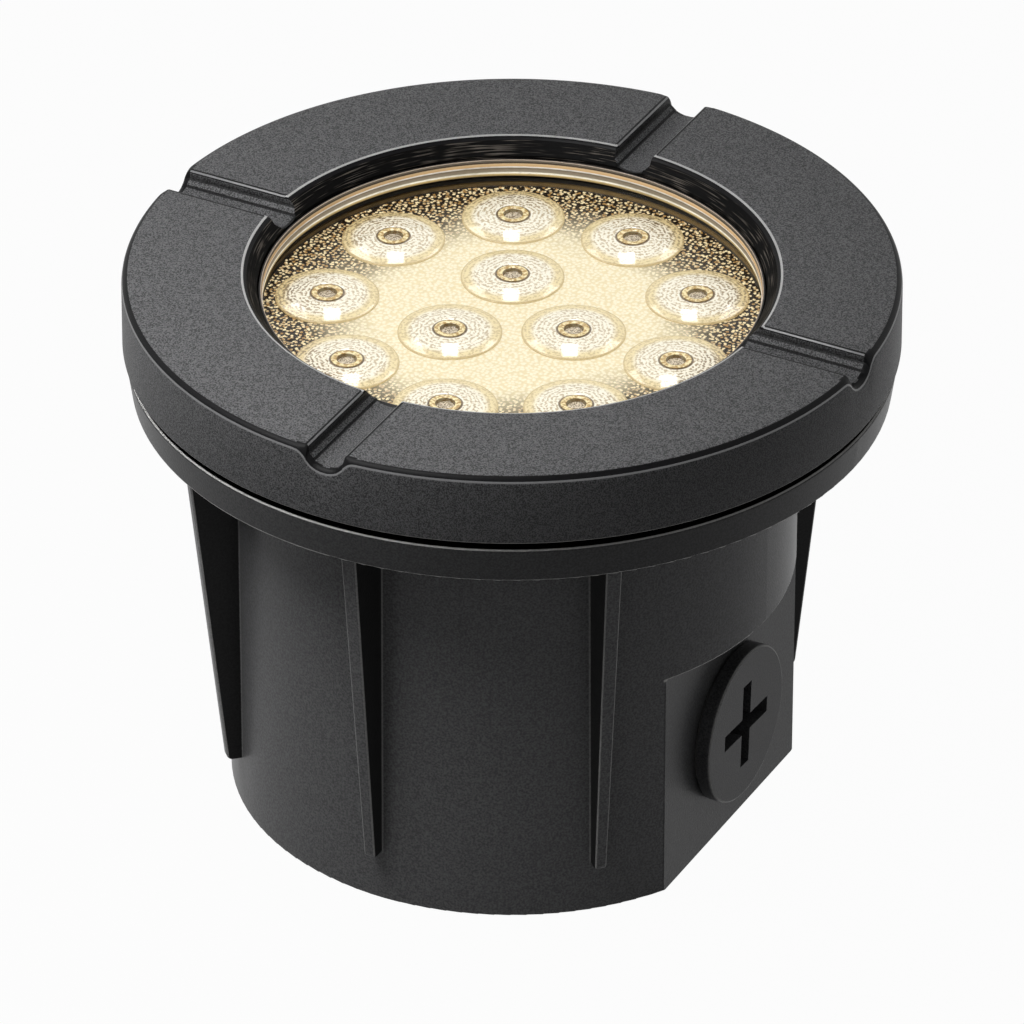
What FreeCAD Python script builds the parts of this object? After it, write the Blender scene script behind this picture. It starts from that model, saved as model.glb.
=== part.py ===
import FreeCAD, Part
import math
import os

# In ground well light, in millimetres. +Z is up, the origin is the centre of the base,
# +X points at the plugged conduit entry and -X at the open one.

Vector = FreeCAD.Vector
origin = Vector(0, 0, 0)
up = Vector(0, 0, 1)

# Clearances
slide_gap = 0.3            # pieces that are dropped into or turn round each other
soft_gap = 0.1             # a gasket round the piece that it wraps
running_gap = 0.08         # the plug's thread crest in its bore
screw_gap = 0.25           # a screw in its clearance hole
pilot_gap = 0.05           # a screw in its pilot hole
overcut = 1.0              # how far a cutting tool reaches past the face that it opens

# Optics: two circles of collimators under the lens
optic_radius = 11.1
outer_optic_circle = 39.9
outer_optic_count = 9
inner_optic_circle = 15.1
inner_optic_count = 3
optic_start_angle = 117.6
optic_depth = 9.4          # from the plate's face down to the optic's foot
optic_foot_gap = 0.4
optic_dome_rise = 1.2
optic_edge = 0.35
optic_neck_radius = 9.8
optic_foot_radius = 5.0
optic_eye_radius = 2.0     # the open eye in the middle of each dome
optic_eye_wall = 1.7
optic_eye_depth = 0.8
optic_socket_radius = 3.0  # the hollow over the emitter
optic_socket_depth = 2.4

# Optic plate, which stands on the board by its legs
plate_margin = 2.4
plate_thickness = 2.0
leg_circle = 27.8
leg_radius = 2.2
leg_count = 3

# Emitters, their board and its two leads
emitter_width = 3.5
emitter_base = 0.9
emitter_dome_radius = 1.3
board_thickness = 1.6
board_inset = 1.0
pad_thickness = 0.5
board_screw_count = 3
board_lead_radius = 0.9
board_lead_spacing = 3.4
sleeve_wall = 1.6

# Lens, a stepped glass disc whose raised face stands in the cover's opening, and its gaskets
lens_face_inset = 0.5      # raised face inside the plate's edge
lens_air_gap = 0.3
lens_flange = 1.5
lens_step = 2.5
lens_flange_width = 6.3
lens_edge_round = 0.4
seat_gasket_thickness = 0.8
lens_gasket_thickness = 1.0
lens_gasket_lip = 0.6
lens_gasket_lip_rise = 3.9
gasket_edge_inset = 0.6

# Sealed module: bowl, rim, flange and fins in one casting
bowl_gap = 0.6             # round the optic plate
bowl_wall = 1.7
rim_wall = 2.5
rim_drop = 1.1             # rim's top below the cover's roof
screw_land = 6.8           # flange outside the rim, where the screws stand
module_flange_thickness = 3.5
module_floor = 4.0
module_screw_count = 4
module_screw_angle = 22.5
module_gasket_thickness = 1.0
fin_height = 12.0
fin_thickness = 2.0
fin_pitch = 8.0
fin_pairs = 6
fin_inset = 2.5

# Driver case under the fins
case_radius = 41.0
case_wall = 2.0
case_floor = 2.5
case_depth = 20.8
case_cover_thickness = 2.0
case_flange_width = 9.0
case_flange_thickness = 3.0
case_gasket_width = 3.0
case_gasket_thickness = 1.0
case_screw_count = 4
case_boss_radius = 4.0
standoff_height = 3.0
standoff_radius = 2.6
standoff_circle = 32.0
driver_board_gap = 1.5
driver_board_thickness = 1.6
transformer_spot = (-18.0, -3.0)
transformer_winding = (14.0, 17.0, 9.0)
transformer_core = (19.0, 7.0, 11.0)
capacitor_spots = ((15.0, 8.0), (26.0, 6.0))
capacitor_radius = 4.5
capacitor_height = 10.0
choke_spot = (16.0, -12.0)
choke_radius = 6.5
choke_hole = 2.5
choke_height = 5.0
chip_spots = ((-6.0, -24.0), (6.0, -24.0))
chip_size = (7.0, 5.0, 1.8)

# Gland and lead of the module
gland_offset = 12.0
gland_thread_radius = 5.8
gland_hex_radius = 8.2
gland_hex_height = 4.0
gland_stub = 4.0
gland_stub_radius = 4.8
gland_nut_height = 7.5
gland_nut_floor = 1.2
gland_locknut_height = 2.4
gland_seal_height = 2.2
lead_radius = 2.5
lead_stub = 10.0           # the lead above the floor of the driver case

# Terminal block in the splice chamber
block_size = (40.0, 15.0, 8.0)
block_offset = 40.0
block_ways = 3
block_way_width = 8.2
block_barrier = 1.4
block_barrier_rise = 6.0
block_clamp_radius = 2.3
block_clamp_height = 2.0
block_clamp_spacing = 7.6
block_ear_inset = 2.6
block_post_radius = 2.5
block_post_height = 4.0

# Screws, as (radius of the shank, radius of the head, height of the head)
small_screw = (1.0, 1.9, 1.3)
board_screw = (1.4, 2.6, 1.8)
case_screw = (1.5, 2.8, 2.0)
module_screw = (1.7, 2.9, 2.0)
screw_bite = 3.0           # length that is held in the threaded piece
recess_width = 0.6
recess_share = 0.55        # depth of the cross recess, as a share of the head's height

# Cover ring, which screws on to the housing's neck
ring_height = 15.8
roof_thickness = 7.1
lip_thickness = 6.1
ring_draft = 0.1
ring_top_round = 1.7
ring_foot_round = 0.5
funnel_width = 2.8
funnel_height = 3.4
funnel_edge = 0.4
opening_edge = 0.8
skirt_wall = 7.5
groove_count = 4
groove_width = 8.6
groove_depth = 3.9
groove_floor_round = 2.6
groove_shoulder = 0.6
slip_thickness = 0.8
slip_inset = 0.4
slip_bead = 0.6
slip_bead_height = 0.4

# Cover thread, the same ridge on the neck and in the skirt
thread_pitch = 4.0
thread_depth = 1.6
thread_base = 1.7
thread_crest = 1.0
thread_gap = 0.4
thread_inset = 1.2         # plain wall past each end of a thread
thread_root = 0.4          # how deep a ridge is rooted in its wall

# Housing: can, flange, neck and ribs
can_height = 97.4
can_wall = 4.7
can_floor = 5.0
module_clearance = 0.8
base_round = 0.4
flange_thickness = 8.3
flange_inset = 0.6
flange_draft = 1.2
flange_round = 0.6
seam_gap = 1.9
neck_wall = 4.0
neck_drop = 0.8
seat_depth = 3.0
rib_angles = (45, 90, 135, 225, 270, 315)
rib_top_reach = 11.9
rib_foot_reach = 3.3
rib_foot_height = 12.0
rib_top_thickness = 3.5
rib_foot_thickness = 2.5
rib_foot_round = 1.5
rib_edge_round = 0.5

# Conduit entries: two flats on the can, each with a bored boss
flat_inset = 8.2
flat_height = 53.8
flat_wall = 4.0
ledge_round = 0.5           # edge of the can above each flat
entry_height = 26.0
entry_radius = 13.3
entry_length = 12.0
entry_boss_wall = 4.7
entry_edge = 0.6

# Conduit plug and its washer
plug_head_radius = 17.6
plug_head_thickness = 3.0
plug_edge_round = 0.5
plug_shank = 12.0
plug_pitch = 1.814
plug_thread_depth = 0.9
plug_thread_width = 1.1
plug_slot_span = 20.0
plug_slot_width = 3.8
plug_slot_depth = 5.5
plug_slot_turn = -3.0
plug_washer_thickness = 0.8
plug_washer_inset = 1.0

# Radii, from the optics outwards
plate_radius = outer_optic_circle + optic_radius + plate_margin
bowl_radius = plate_radius + bowl_gap
bowl_outer_radius = bowl_radius + bowl_wall
lens_face_radius = plate_radius - lens_face_inset
lens_radius = lens_face_radius + lens_flange_width
lip_inner_radius = lens_face_radius + soft_gap
lip_outer_radius = lip_inner_radius + lens_gasket_lip
window_radius = lip_outer_radius + slide_gap
opening_radius = window_radius + funnel_width
slip_radius = lens_radius
slip_bead_radius = slip_radius + slip_bead
recess_radius = lens_radius + slide_gap
rim_radius = recess_radius + rim_wall
module_flange_radius = rim_radius + screw_land
module_screw_circle = rim_radius + screw_land / 2
neck_inner_radius = module_flange_radius + slide_gap
neck_radius = neck_inner_radius + neck_wall
neck_thread_radius = neck_radius + thread_depth
skirt_radius = neck_thread_radius + thread_gap
ring_radius = skirt_radius + skirt_wall
flange_radius = ring_radius - flange_inset
flange_foot_radius = flange_radius - flange_draft
can_inner_radius = bowl_outer_radius + module_clearance
can_radius = can_inner_radius + can_wall
flat_distance = can_radius - flat_inset
fin_radius = bowl_outer_radius - fin_inset
case_flange_radius = case_radius + case_flange_width
case_screw_circle = case_radius + case_flange_width / 2
sleeve_radius = board_lead_spacing / 2 + board_lead_radius + sleeve_wall
driver_board_radius = case_radius - case_wall - driver_board_gap

# Heights, from the base up to the cover's top
neck_foot = can_height + flange_thickness
skirt_foot = neck_foot + seam_gap
ring_top = skirt_foot + ring_height
roof_height = ring_top - roof_thickness
lip_height = ring_top - lip_thickness
neck_top = roof_height - neck_drop
rim_top = roof_height - rim_drop
seat_height = neck_foot - seat_depth
module_flange_foot = seat_height + module_gasket_thickness
module_flange_top = module_flange_foot + module_flange_thickness

# Heights, from the cover's lip down through the module
slip_foot = lip_height - slip_thickness
lens_shoulder = slip_foot - lens_gasket_thickness
lens_foot = lens_shoulder - lens_flange
lens_top = lens_shoulder + lens_step
ledge_height = lens_foot - seat_gasket_thickness
dome_top = lens_foot - lens_air_gap
plate_top = dome_top - optic_dome_rise
plate_foot = plate_top - plate_thickness
optic_foot = plate_top - optic_depth
board_top = optic_foot - optic_foot_gap
board_foot = board_top - board_thickness
bowl_floor = board_foot - pad_thickness
bowl_foot = bowl_floor - module_floor
fin_foot = bowl_foot - fin_height
case_cover_foot = fin_foot - case_cover_thickness
case_top = case_cover_foot - case_gasket_thickness
case_foot = case_top - case_depth
case_floor_top = case_foot + case_floor
driver_board_foot = case_floor_top + standoff_height
driver_board_top = driver_board_foot + driver_board_thickness
gland_hex_foot = case_foot - gland_hex_height
gland_nut_foot = gland_hex_foot - gland_nut_height

# Heights in the splice chamber
block_foot = can_floor + block_post_height
block_top = block_foot + block_size[2]
block_face = block_offset - block_size[1] / 2

# Travel that frees the cover ring and the conduit plug
cover_lift = neck_top - skirt_foot + slide_gap
plug_travel = plug_shank + slide_gap


def cylinder(radius, low, high, x=0.0, y=0.0):
    return Part.makeCylinder(radius, high - low, Vector(x, y, low))


def ring(outer, inner, low, high, x=0.0, y=0.0):
    return cylinder(outer, low, high, x, y).cut(cylinder(inner, low - overcut, high + overcut, x, y))


def block(size, x, y, low):
    return Part.makeBox(size[0], size[1], size[2], Vector(x - size[0] / 2, y - size[1] / 2, low))


def hexagon(corner_radius, low, high, x=0.0, y=0.0):
    corners = []
    for step in range(7):
        angle = math.radians(60 * step)
        corners.append(Vector(x + corner_radius * math.cos(angle), y + corner_radius * math.sin(angle), low))
    return Part.Face(Part.makePolygon(corners)).extrude(Vector(0, 0, high - low))


def around(radius, angle):
    return radius * math.cos(math.radians(angle)), radius * math.sin(math.radians(angle))


def spots(radius, count, start=0.0):
    return [around(radius, start + 360.0 * step / count) for step in range(count)]


def turned(shape, angle):
    copy = shape.copy()
    copy.rotate(origin, up, angle)
    return copy


def fused(shapes):
    return shapes[0].multiFuse(shapes[1:])


def section(corners):
    """Face in the XZ plane from (x, z) or (x, z, round) corners, with tangent arcs at the rounded ones."""
    starts = []
    ends = []
    edges = []
    for index, corner in enumerate(corners):
        here = Vector(corner[0], 0, corner[1])
        before = Vector(corners[index - 1][0], 0, corners[index - 1][1])
        after = Vector(corners[(index + 1) % len(corners)][0], 0, corners[(index + 1) % len(corners)][1])
        radius = corner[2] if len(corner) > 2 else 0.0
        if radius == 0.0:
            starts.append(here)
            ends.append(here)
            continue
        back = (before - here).normalize()
        ahead = (after - here).normalize()
        half = back.getAngle(ahead) / 2
        start = here + back * (radius / math.tan(half))
        end = here + ahead * (radius / math.tan(half))
        middle = here + (back + ahead).normalize() * (radius / math.sin(half) - radius)
        starts.append(start)
        ends.append(end)
        edges.append(Part.Arc(start, middle, end).toShape())
    for index in range(len(corners)):
        edges.append(Part.makeLine(ends[index - 1], starts[index]))
    return Part.Face(Part.Wire(Part.__sortEdges__(edges)))


def spun(corners):
    return section(corners).revolve(origin, up, 360)


def helical_ridge(wall, depth, low, high, pitch, base, crest):
    """Thread ridge on a round wall. A positive depth stands outwards and a negative one inwards."""
    root = math.copysign(thread_root, depth)
    half_root = base / 2 + thread_root * (base - crest) / (2 * abs(depth))
    corners = [
        Vector(wall - root, 0, -half_root),
        Vector(wall + depth, 0, -crest / 2),
        Vector(wall + depth, 0, crest / 2),
        Vector(wall - root, 0, half_root),
    ]
    profile = Part.makePolygon(corners + corners[:1])
    path = Part.Wire(Part.makeHelix(pitch, high - low, wall).Edges)
    ridge = path.makePipeShell([profile], True, True)
    ridge.translate(Vector(0, 0, low))
    return ridge


def screw(kind, length, x, y, seat, head_up=True):
    """Pan head screw with a cross recess, whose head rests on the seat height."""
    shank, head, head_height = kind
    body = spun([(0, 0), (head, 0), (head, head_height, head_height * recess_share), (0, head_height)])
    depth = head_height * recess_share
    for size in ((head, recess_width, depth), (recess_width, head, depth)):
        body = body.cut(block(size, 0, 0, head_height - depth))
    body = body.fuse(cylinder(shank, -length, 0))
    if not head_up:
        body.rotate(origin, Vector(1, 0, 0), 180)
    body.translate(Vector(x, y, seat))
    return body


def optic_places():
    outer = spots(outer_optic_circle, outer_optic_count, optic_start_angle)
    inner = spots(inner_optic_circle, inner_optic_count, optic_start_angle)
    return outer + inner


def board_screw_places():
    return spots(leg_circle, board_screw_count, optic_start_angle)


def leg_places():
    return spots(leg_circle, leg_count, optic_start_angle + 180.0 / leg_count)


def module_screw_places():
    return spots(module_screw_circle, module_screw_count, module_screw_angle)


def case_screw_places():
    return spots(case_screw_circle, case_screw_count, 180.0 / case_screw_count)


def standoff_places():
    return spots(standoff_circle, case_screw_count, 180.0 / case_screw_count)


def board_lead_places():
    return [(-board_lead_spacing / 2, 0.0), (board_lead_spacing / 2, 0.0)]


def block_ear_places():
    reach = block_size[0] / 2 - block_ear_inset
    return [(-reach, block_offset), (reach, block_offset)]


def housing():
    body = spun([
        (0, 0),
        (can_radius, 0, base_round),
        (can_radius, can_height),
        (flange_foot_radius, can_height, flange_round),
        (flange_radius, neck_foot, flange_round),
        (neck_radius, neck_foot),
        (neck_radius, neck_top, flange_round),
        (neck_inner_radius, neck_top),
        (neck_inner_radius, seat_height),
        (can_inner_radius, seat_height),
        (can_inner_radius, can_floor),
        (0, can_floor),
    ])
    body = fused([body] + [rib(angle) for angle in rib_angles] + [neck_thread()])
    for side in (0, 180):
        body = body.fuse(turned(entry_wall(), side))
        body = body.cut(turned(entry_cut(), side))
    for x, y in module_screw_places():
        bite = seat_height - screw_bite - pilot_gap
        body = body.cut(cylinder(module_screw[0] + pilot_gap, bite, seat_height + overcut, x, y))
    for x, y in block_ear_places():
        post = cylinder(block_post_radius, can_floor - overcut, block_foot, x, y)
        hole = cylinder(small_screw[0] + pilot_gap, block_foot - screw_bite, block_foot + overcut, x, y)
        body = body.fuse(post).cut(hole)
    return body.makeFillet(ledge_round, ledge_edges(body))


def ledge_edges(body):
    """Edges where the can's wall overhangs the two flats."""
    found = []
    for edge in body.Edges:
        box = edge.BoundBox
        level = abs(box.ZMin - flat_height) < pilot_gap and abs(box.ZMax - flat_height) < pilot_gap
        reach = max(box.XMax, -box.XMin)
        if level and abs(reach - can_radius) < pilot_gap:
            found.append(edge)
    return found


def rib(angle):
    """Gusset under the flange, tapered in reach and in thickness towards its foot."""
    wall = can_radius - can_wall / 2
    side = section([
        (wall, rib_foot_height),
        (can_radius + rib_foot_reach, rib_foot_height, rib_foot_round),
        (can_radius + rib_top_reach, can_height + flange_round),
        (wall, can_height + flange_round),
    ])
    slab = side.extrude(Vector(0, rib_top_thickness, 0))
    slab.translate(Vector(0, -rib_top_thickness / 2, 0))
    far = can_radius + rib_top_reach + overcut
    outlines = []
    ends = (rib_foot_height, rib_foot_thickness), (can_height + flange_round, rib_top_thickness)
    for height, thickness in ends:
        half = thickness / 2
        corners = [
            Vector(wall, -half, height),
            Vector(far, -half, height),
            Vector(far, half, height),
            Vector(wall, half, height),
        ]
        outlines.append(Part.makePolygon(corners + corners[:1]))
    wedge = Part.makeLoft(outlines, True, True)
    web = slab.common(wedge)
    long_edges = []
    for edge in web.Edges:
        box = edge.BoundBox
        if box.XMin > can_radius and box.YLength < rib_foot_thickness / 2:
            long_edges.append(edge)
    return turned(web.makeFillet(rib_edge_round, long_edges), angle)


def neck_thread():
    low = neck_foot + thread_inset + thread_base / 2
    high = neck_top - thread_inset - thread_base / 2
    return helical_ridge(neck_radius, thread_depth, low, high, thread_pitch, thread_base, thread_crest)


def entry_wall():
    """Inner wall behind one flat, with the boss that the entry is bored through."""
    inner_face = flat_distance - flat_wall
    boss_face = flat_distance - entry_length
    span = 2 * can_radius
    wall = Part.makeBox(span, span, flat_height + flat_wall, Vector(inner_face, -can_radius, 0))
    boss = Part.makeCylinder(
        entry_radius + entry_boss_wall, can_radius, Vector(boss_face, 0, entry_height), Vector(1, 0, 0)
    )
    inside = cylinder(can_radius - can_wall / 2, can_floor / 2, flat_height + flat_wall)
    return wall.fuse(boss).common(inside)


def entry_cut():
    """Tool for one flat and its bore, with a broken edge at the mouth."""
    span = 2 * can_radius
    flat = Part.makeBox(span, span, flat_height + overcut, Vector(flat_distance, -can_radius, -overcut))
    bore_start = flat_distance - entry_length - overcut
    bore = Part.makeCylinder(
        entry_radius, entry_length + 2 * overcut, Vector(bore_start, 0, entry_height), Vector(1, 0, 0)
    )
    mouth = Part.makeCone(
        entry_radius, entry_radius + entry_edge, entry_edge,
        Vector(flat_distance - entry_edge, 0, entry_height), Vector(1, 0, 0)
    )
    return flat.fuse(bore).fuse(mouth)


def cover_ring():
    body = spun([
        (ring_radius, skirt_foot, ring_foot_round),
        (ring_radius - ring_draft, ring_top, ring_top_round),
        (opening_radius, ring_top, opening_edge),
        (window_radius, ring_top - funnel_height, funnel_edge),
        (window_radius, lip_height),
        (slip_bead_radius + slide_gap, lip_height),
        (slip_bead_radius + slide_gap, lip_height - slip_bead_height - soft_gap),
        (slip_radius + slide_gap, lip_height - slip_bead_height - soft_gap),
        (slip_radius + slide_gap, roof_height),
        (skirt_radius, roof_height),
        (skirt_radius, skirt_foot),
    ])
    body = body.fuse(skirt_thread())
    for step in range(groove_count):
        body = body.cut(turned(groove(), 360.0 * step / groove_count))
    return body


def skirt_thread():
    """The skirt's ridge, half a pitch above the neck's."""
    low = neck_foot + thread_inset + thread_base / 2 + thread_pitch / 2
    high = roof_height - thread_base / 2 - thread_gap
    return helical_ridge(skirt_radius, -thread_depth, low, high, thread_pitch, thread_base, thread_crest)


def groove():
    """Tool for one radial groove across the top of the ring, with rounded shoulders and floor."""
    half = groove_width / 2
    wide = half + groove_shoulder
    shoulder = groove_shoulder * (1 - math.sqrt(0.5))
    wall_top = ring_top - groove_shoulder
    floor = ring_top - groove_depth
    low = floor + groove_floor_round
    near = half - groove_floor_round
    arc_x = near + groove_floor_round * math.sqrt(0.5)
    arc_z = low - groove_floor_round * math.sqrt(0.5)
    edges = []
    for side in (1, -1):
        above = Vector(0, side * wide, ring_top + overcut)
        edges.append(Part.makeLine(above, Vector(0, side * wide, ring_top)))
        edges.append(Part.Arc(
            Vector(0, side * wide, ring_top),
            Vector(0, side * (half + shoulder), ring_top - shoulder),
            Vector(0, side * half, wall_top)
        ).toShape())
        edges.append(Part.makeLine(Vector(0, side * half, wall_top), Vector(0, side * half, low)))
        edges.append(Part.Arc(
            Vector(0, side * half, low),
            Vector(0, side * arc_x, arc_z),
            Vector(0, side * near, floor)
        ).toShape())
    edges.append(Part.makeLine(Vector(0, near, floor), Vector(0, -near, floor)))
    edges.append(Part.makeLine(Vector(0, -wide, ring_top + overcut), Vector(0, wide, ring_top + overcut)))
    outline = Part.Face(Part.Wire(Part.__sortEdges__(edges)))
    return outline.extrude(Vector(ring_radius + overcut, 0, 0))


def slip_ring():
    """Anti-friction ring snapped into the cover's lip, which keeps the gasket from being dragged round."""
    bead_foot = lip_height - slip_bead_height
    return spun([
        (window_radius + slip_inset, slip_foot),
        (slip_radius, slip_foot),
        (slip_radius, bead_foot),
        (slip_bead_radius, bead_foot),
        (slip_bead_radius, lip_height),
        (window_radius + slip_inset, lip_height),
    ])


def lens():
    return spun([
        (0, lens_foot),
        (lens_radius, lens_foot, lens_edge_round),
        (lens_radius, lens_shoulder, lens_edge_round),
        (lens_face_radius, lens_shoulder),
        (lens_face_radius, lens_top, lens_edge_round),
        (0, lens_top),
    ])


def lens_gasket():
    """Gasket on the lens's flange, with a lip round its raised face."""
    lip_top = lens_shoulder + lens_gasket_lip_rise
    return spun([
        (lip_inner_radius, lens_shoulder),
        (lens_radius - gasket_edge_inset, lens_shoulder),
        (lens_radius - gasket_edge_inset, slip_foot),
        (lip_outer_radius, slip_foot),
        (lip_outer_radius, lip_top, lens_gasket_lip / 3),
        (lip_inner_radius, lip_top, lens_gasket_lip / 3),
    ])


def seat_gasket():
    return ring(lens_radius - gasket_edge_inset, bowl_radius + gasket_edge_inset, ledge_height, lens_foot)


def module_body():
    body = spun([
        (0, bowl_foot),
        (bowl_outer_radius, bowl_foot, base_round),
        (bowl_outer_radius, module_flange_foot),
        (module_flange_radius, module_flange_foot),
        (module_flange_radius, module_flange_top),
        (rim_radius, module_flange_top),
        (rim_radius, rim_top, base_round),
        (recess_radius, rim_top),
        (recess_radius, ledge_height),
        (bowl_radius, ledge_height),
        (bowl_radius, bowl_floor),
        (0, bowl_floor),
    ])
    body = body.fuse(fins())
    for x, y in case_screw_places():
        body = body.fuse(cylinder(case_boss_radius, fin_foot, bowl_foot + base_round, x, y))
        body = body.cut(cylinder(case_screw[0] + pilot_gap, fin_foot - overcut, fin_foot + screw_bite, x, y))
    for x, y in module_screw_places():
        hole_foot = module_flange_foot - overcut
        hole_top = module_flange_top + overcut
        body = body.cut(cylinder(module_screw[0] + screw_gap, hole_foot, hole_top, x, y))
    for x, y in board_screw_places():
        hole = cylinder(board_screw[0] + pilot_gap, bowl_floor - screw_bite, bowl_floor + overcut, x, y)
        body = body.cut(hole)
    return body.cut(cylinder(sleeve_radius + soft_gap, fin_foot - overcut, bowl_floor + overcut))


def fins():
    plates = []
    for step in range(fin_pairs):
        offset = fin_pitch * (step + 0.5)
        for side in (1, -1):
            size = (2 * fin_radius, fin_thickness, fin_height + base_round)
            plates.append(block(size, 0, side * offset, fin_foot))
    return fused(plates).common(cylinder(fin_radius, fin_foot, bowl_foot + base_round))


def module_gasket():
    gasket = ring(module_flange_radius, can_inner_radius + gasket_edge_inset, seat_height, module_flange_foot)
    for x, y in module_screw_places():
        gasket = gasket.cut(cylinder(module_screw[0] + screw_gap, seat_height - overcut, neck_foot, x, y))
    return gasket


def module_screws():
    length = module_flange_top - seat_height + screw_bite
    places = module_screw_places()
    return Part.makeCompound([screw(module_screw, length, x, y, module_flange_top) for x, y in places])


def dome_height(radius):
    """Height of the pillow dome above the optic's edge, at a radius from the optic's axis."""
    rise = optic_dome_rise - optic_edge
    sphere = (optic_radius ** 2 + rise ** 2) / (2 * rise)
    return math.sqrt(sphere ** 2 - radius ** 2) - (sphere - rise)


def optic():
    """One collimator about the Z axis, with the plate's face at height 0."""
    eye_rim = optic_eye_radius + optic_eye_wall
    middle = (eye_rim + optic_radius) / 2
    foot = -optic_depth
    outline = [
        Vector(0, 0, optic_dome_rise - optic_eye_depth),
        Vector(optic_eye_radius, 0, optic_dome_rise - optic_eye_depth),
        Vector(optic_eye_radius, 0, optic_dome_rise),
        Vector(eye_rim, 0, optic_dome_rise),
        Vector(eye_rim, 0, optic_edge + dome_height(eye_rim)),
    ]
    edges = [Part.makeLine(outline[index], outline[index + 1]) for index in range(len(outline) - 1)]
    edge_top = Vector(optic_radius, 0, optic_edge)
    crown = Vector(middle, 0, optic_edge + dome_height(middle))
    edges.append(Part.Arc(outline[-1], crown, edge_top).toShape())
    lower = [
        edge_top,
        Vector(optic_radius, 0, 0),
        Vector(optic_neck_radius, 0, 0),
        Vector(optic_neck_radius, 0, -plate_thickness),
        Vector(optic_foot_radius, 0, foot),
        Vector(optic_socket_radius, 0, foot),
        Vector(optic_socket_radius, 0, foot + optic_socket_depth),
        Vector(0, 0, foot + optic_socket_depth),
        outline[0],
    ]
    edges += [Part.makeLine(lower[index], lower[index + 1]) for index in range(len(lower) - 1)]
    return Part.Face(Part.Wire(Part.__sortEdges__(edges))).revolve(origin, up, 360)


def led_optics():
    single = optic()
    copies = []
    for x, y in optic_places():
        copy = single.copy()
        copy.translate(Vector(x, y, plate_top))
        copies.append(copy)
    return Part.makeCompound(copies)


def optic_plate():
    plate = cylinder(plate_radius, plate_foot, plate_top)
    for x, y in optic_places():
        hole = cylinder(optic_neck_radius + soft_gap, plate_foot - overcut, plate_top + overcut, x, y)
        plate = plate.cut(hole)
    for x, y in leg_places():
        plate = plate.fuse(cylinder(leg_radius, board_top, plate_top - soft_gap, x, y))
    return plate


def emitters():
    copies = []
    for x, y in optic_places():
        base = block((emitter_width, emitter_width, emitter_base), x, y, board_top)
        dome = Part.makeSphere(emitter_dome_radius, Vector(x, y, board_top + emitter_base))
        room = cylinder(emitter_width, board_top + emitter_base / 2, optic_foot + optic_socket_depth, x, y)
        dome = dome.common(room)
        copies.append(base.fuse(dome))
    return Part.makeCompound(copies)


def led_board():
    board = cylinder(bowl_radius - board_inset, board_foot, board_top)
    for x, y in board_screw_places():
        hole = cylinder(board_screw[0] + screw_gap, board_foot - overcut, board_top + overcut, x, y)
        board = board.cut(hole)
    for x, y in board_lead_places():
        hole = cylinder(board_lead_radius + soft_gap, board_foot - overcut, board_top + overcut, x, y)
        board = board.cut(hole)
    return board


def thermal_pad():
    pad = cylinder(bowl_radius - board_inset, bowl_floor, board_foot)
    for x, y in board_screw_places():
        pad = pad.cut(cylinder(board_screw[0] + screw_gap, bowl_floor - overcut, board_foot + overcut, x, y))
    return pad.cut(cylinder(sleeve_radius + soft_gap, bowl_floor - overcut, board_foot + overcut))


def board_screws():
    length = board_top - bowl_floor + screw_bite - pilot_gap
    return Part.makeCompound([screw(board_screw, length, x, y, board_top) for x, y in board_screw_places()])


def lead_sleeve():
    """Rubber sleeve that seals the two board leads on their way through the floor and the case's cover."""
    sleeve = cylinder(sleeve_radius, case_cover_foot, board_foot)
    for x, y in board_lead_places():
        hole = cylinder(board_lead_radius + pilot_gap, case_cover_foot - overcut, neck_foot, x, y)
        sleeve = sleeve.cut(hole)
    return sleeve


def board_leads():
    leads = [cylinder(board_lead_radius, driver_board_top, board_top, x, y) for x, y in board_lead_places()]
    return Part.makeCompound(leads)


def case_cover():
    cover = cylinder(case_flange_radius, case_cover_foot, fin_foot)
    for x, y in case_screw_places():
        hole = cylinder(case_screw[0] + screw_gap, case_cover_foot - overcut, fin_foot + overcut, x, y)
        cover = cover.cut(hole)
    return cover.cut(cylinder(sleeve_radius + soft_gap, case_cover_foot - overcut, fin_foot + overcut))


def case_gasket():
    outer = case_radius - case_wall + case_gasket_width
    return ring(outer, case_radius - case_wall, case_top, case_cover_foot)


def driver_case():
    tub = spun([
        (0, case_foot),
        (case_radius, case_foot, case_wall / 2),
        (case_radius, case_top - case_flange_thickness),
        (case_flange_radius, case_top - case_flange_thickness),
        (case_flange_radius, case_top),
        (case_radius - case_wall, case_top),
        (case_radius - case_wall, case_floor_top),
        (0, case_floor_top),
    ])
    for x, y in case_screw_places():
        hole_foot = case_top - case_flange_thickness - overcut
        tub = tub.cut(cylinder(case_screw[0] + screw_gap, hole_foot, case_top + overcut, x, y))
    for x, y in standoff_places():
        post = cylinder(standoff_radius, case_floor_top - case_floor / 2, driver_board_foot, x, y)
        hole = cylinder(small_screw[0] + pilot_gap, driver_board_foot - screw_bite, driver_board_top, x, y)
        tub = tub.fuse(post).cut(hole)
    return tub.cut(cylinder(gland_thread_radius + soft_gap, case_foot - overcut, case_top, 0, gland_offset))


def case_screws():
    seat = case_top - case_flange_thickness
    length = fin_foot - seat + screw_bite - pilot_gap
    return Part.makeCompound([screw(case_screw, length, x, y, seat, False) for x, y in case_screw_places()])


def driver_board():
    board = cylinder(driver_board_radius, driver_board_foot, driver_board_top)
    low = driver_board_foot - overcut
    high = driver_board_top + overcut
    notch = cylinder(gland_hex_radius + soft_gap, low, high, 0, gland_offset)
    board = board.cut(notch)
    for x, y in standoff_places():
        hole = cylinder(small_screw[0] + screw_gap, low, high, x, y)
        board = board.cut(hole)
    return board


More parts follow.
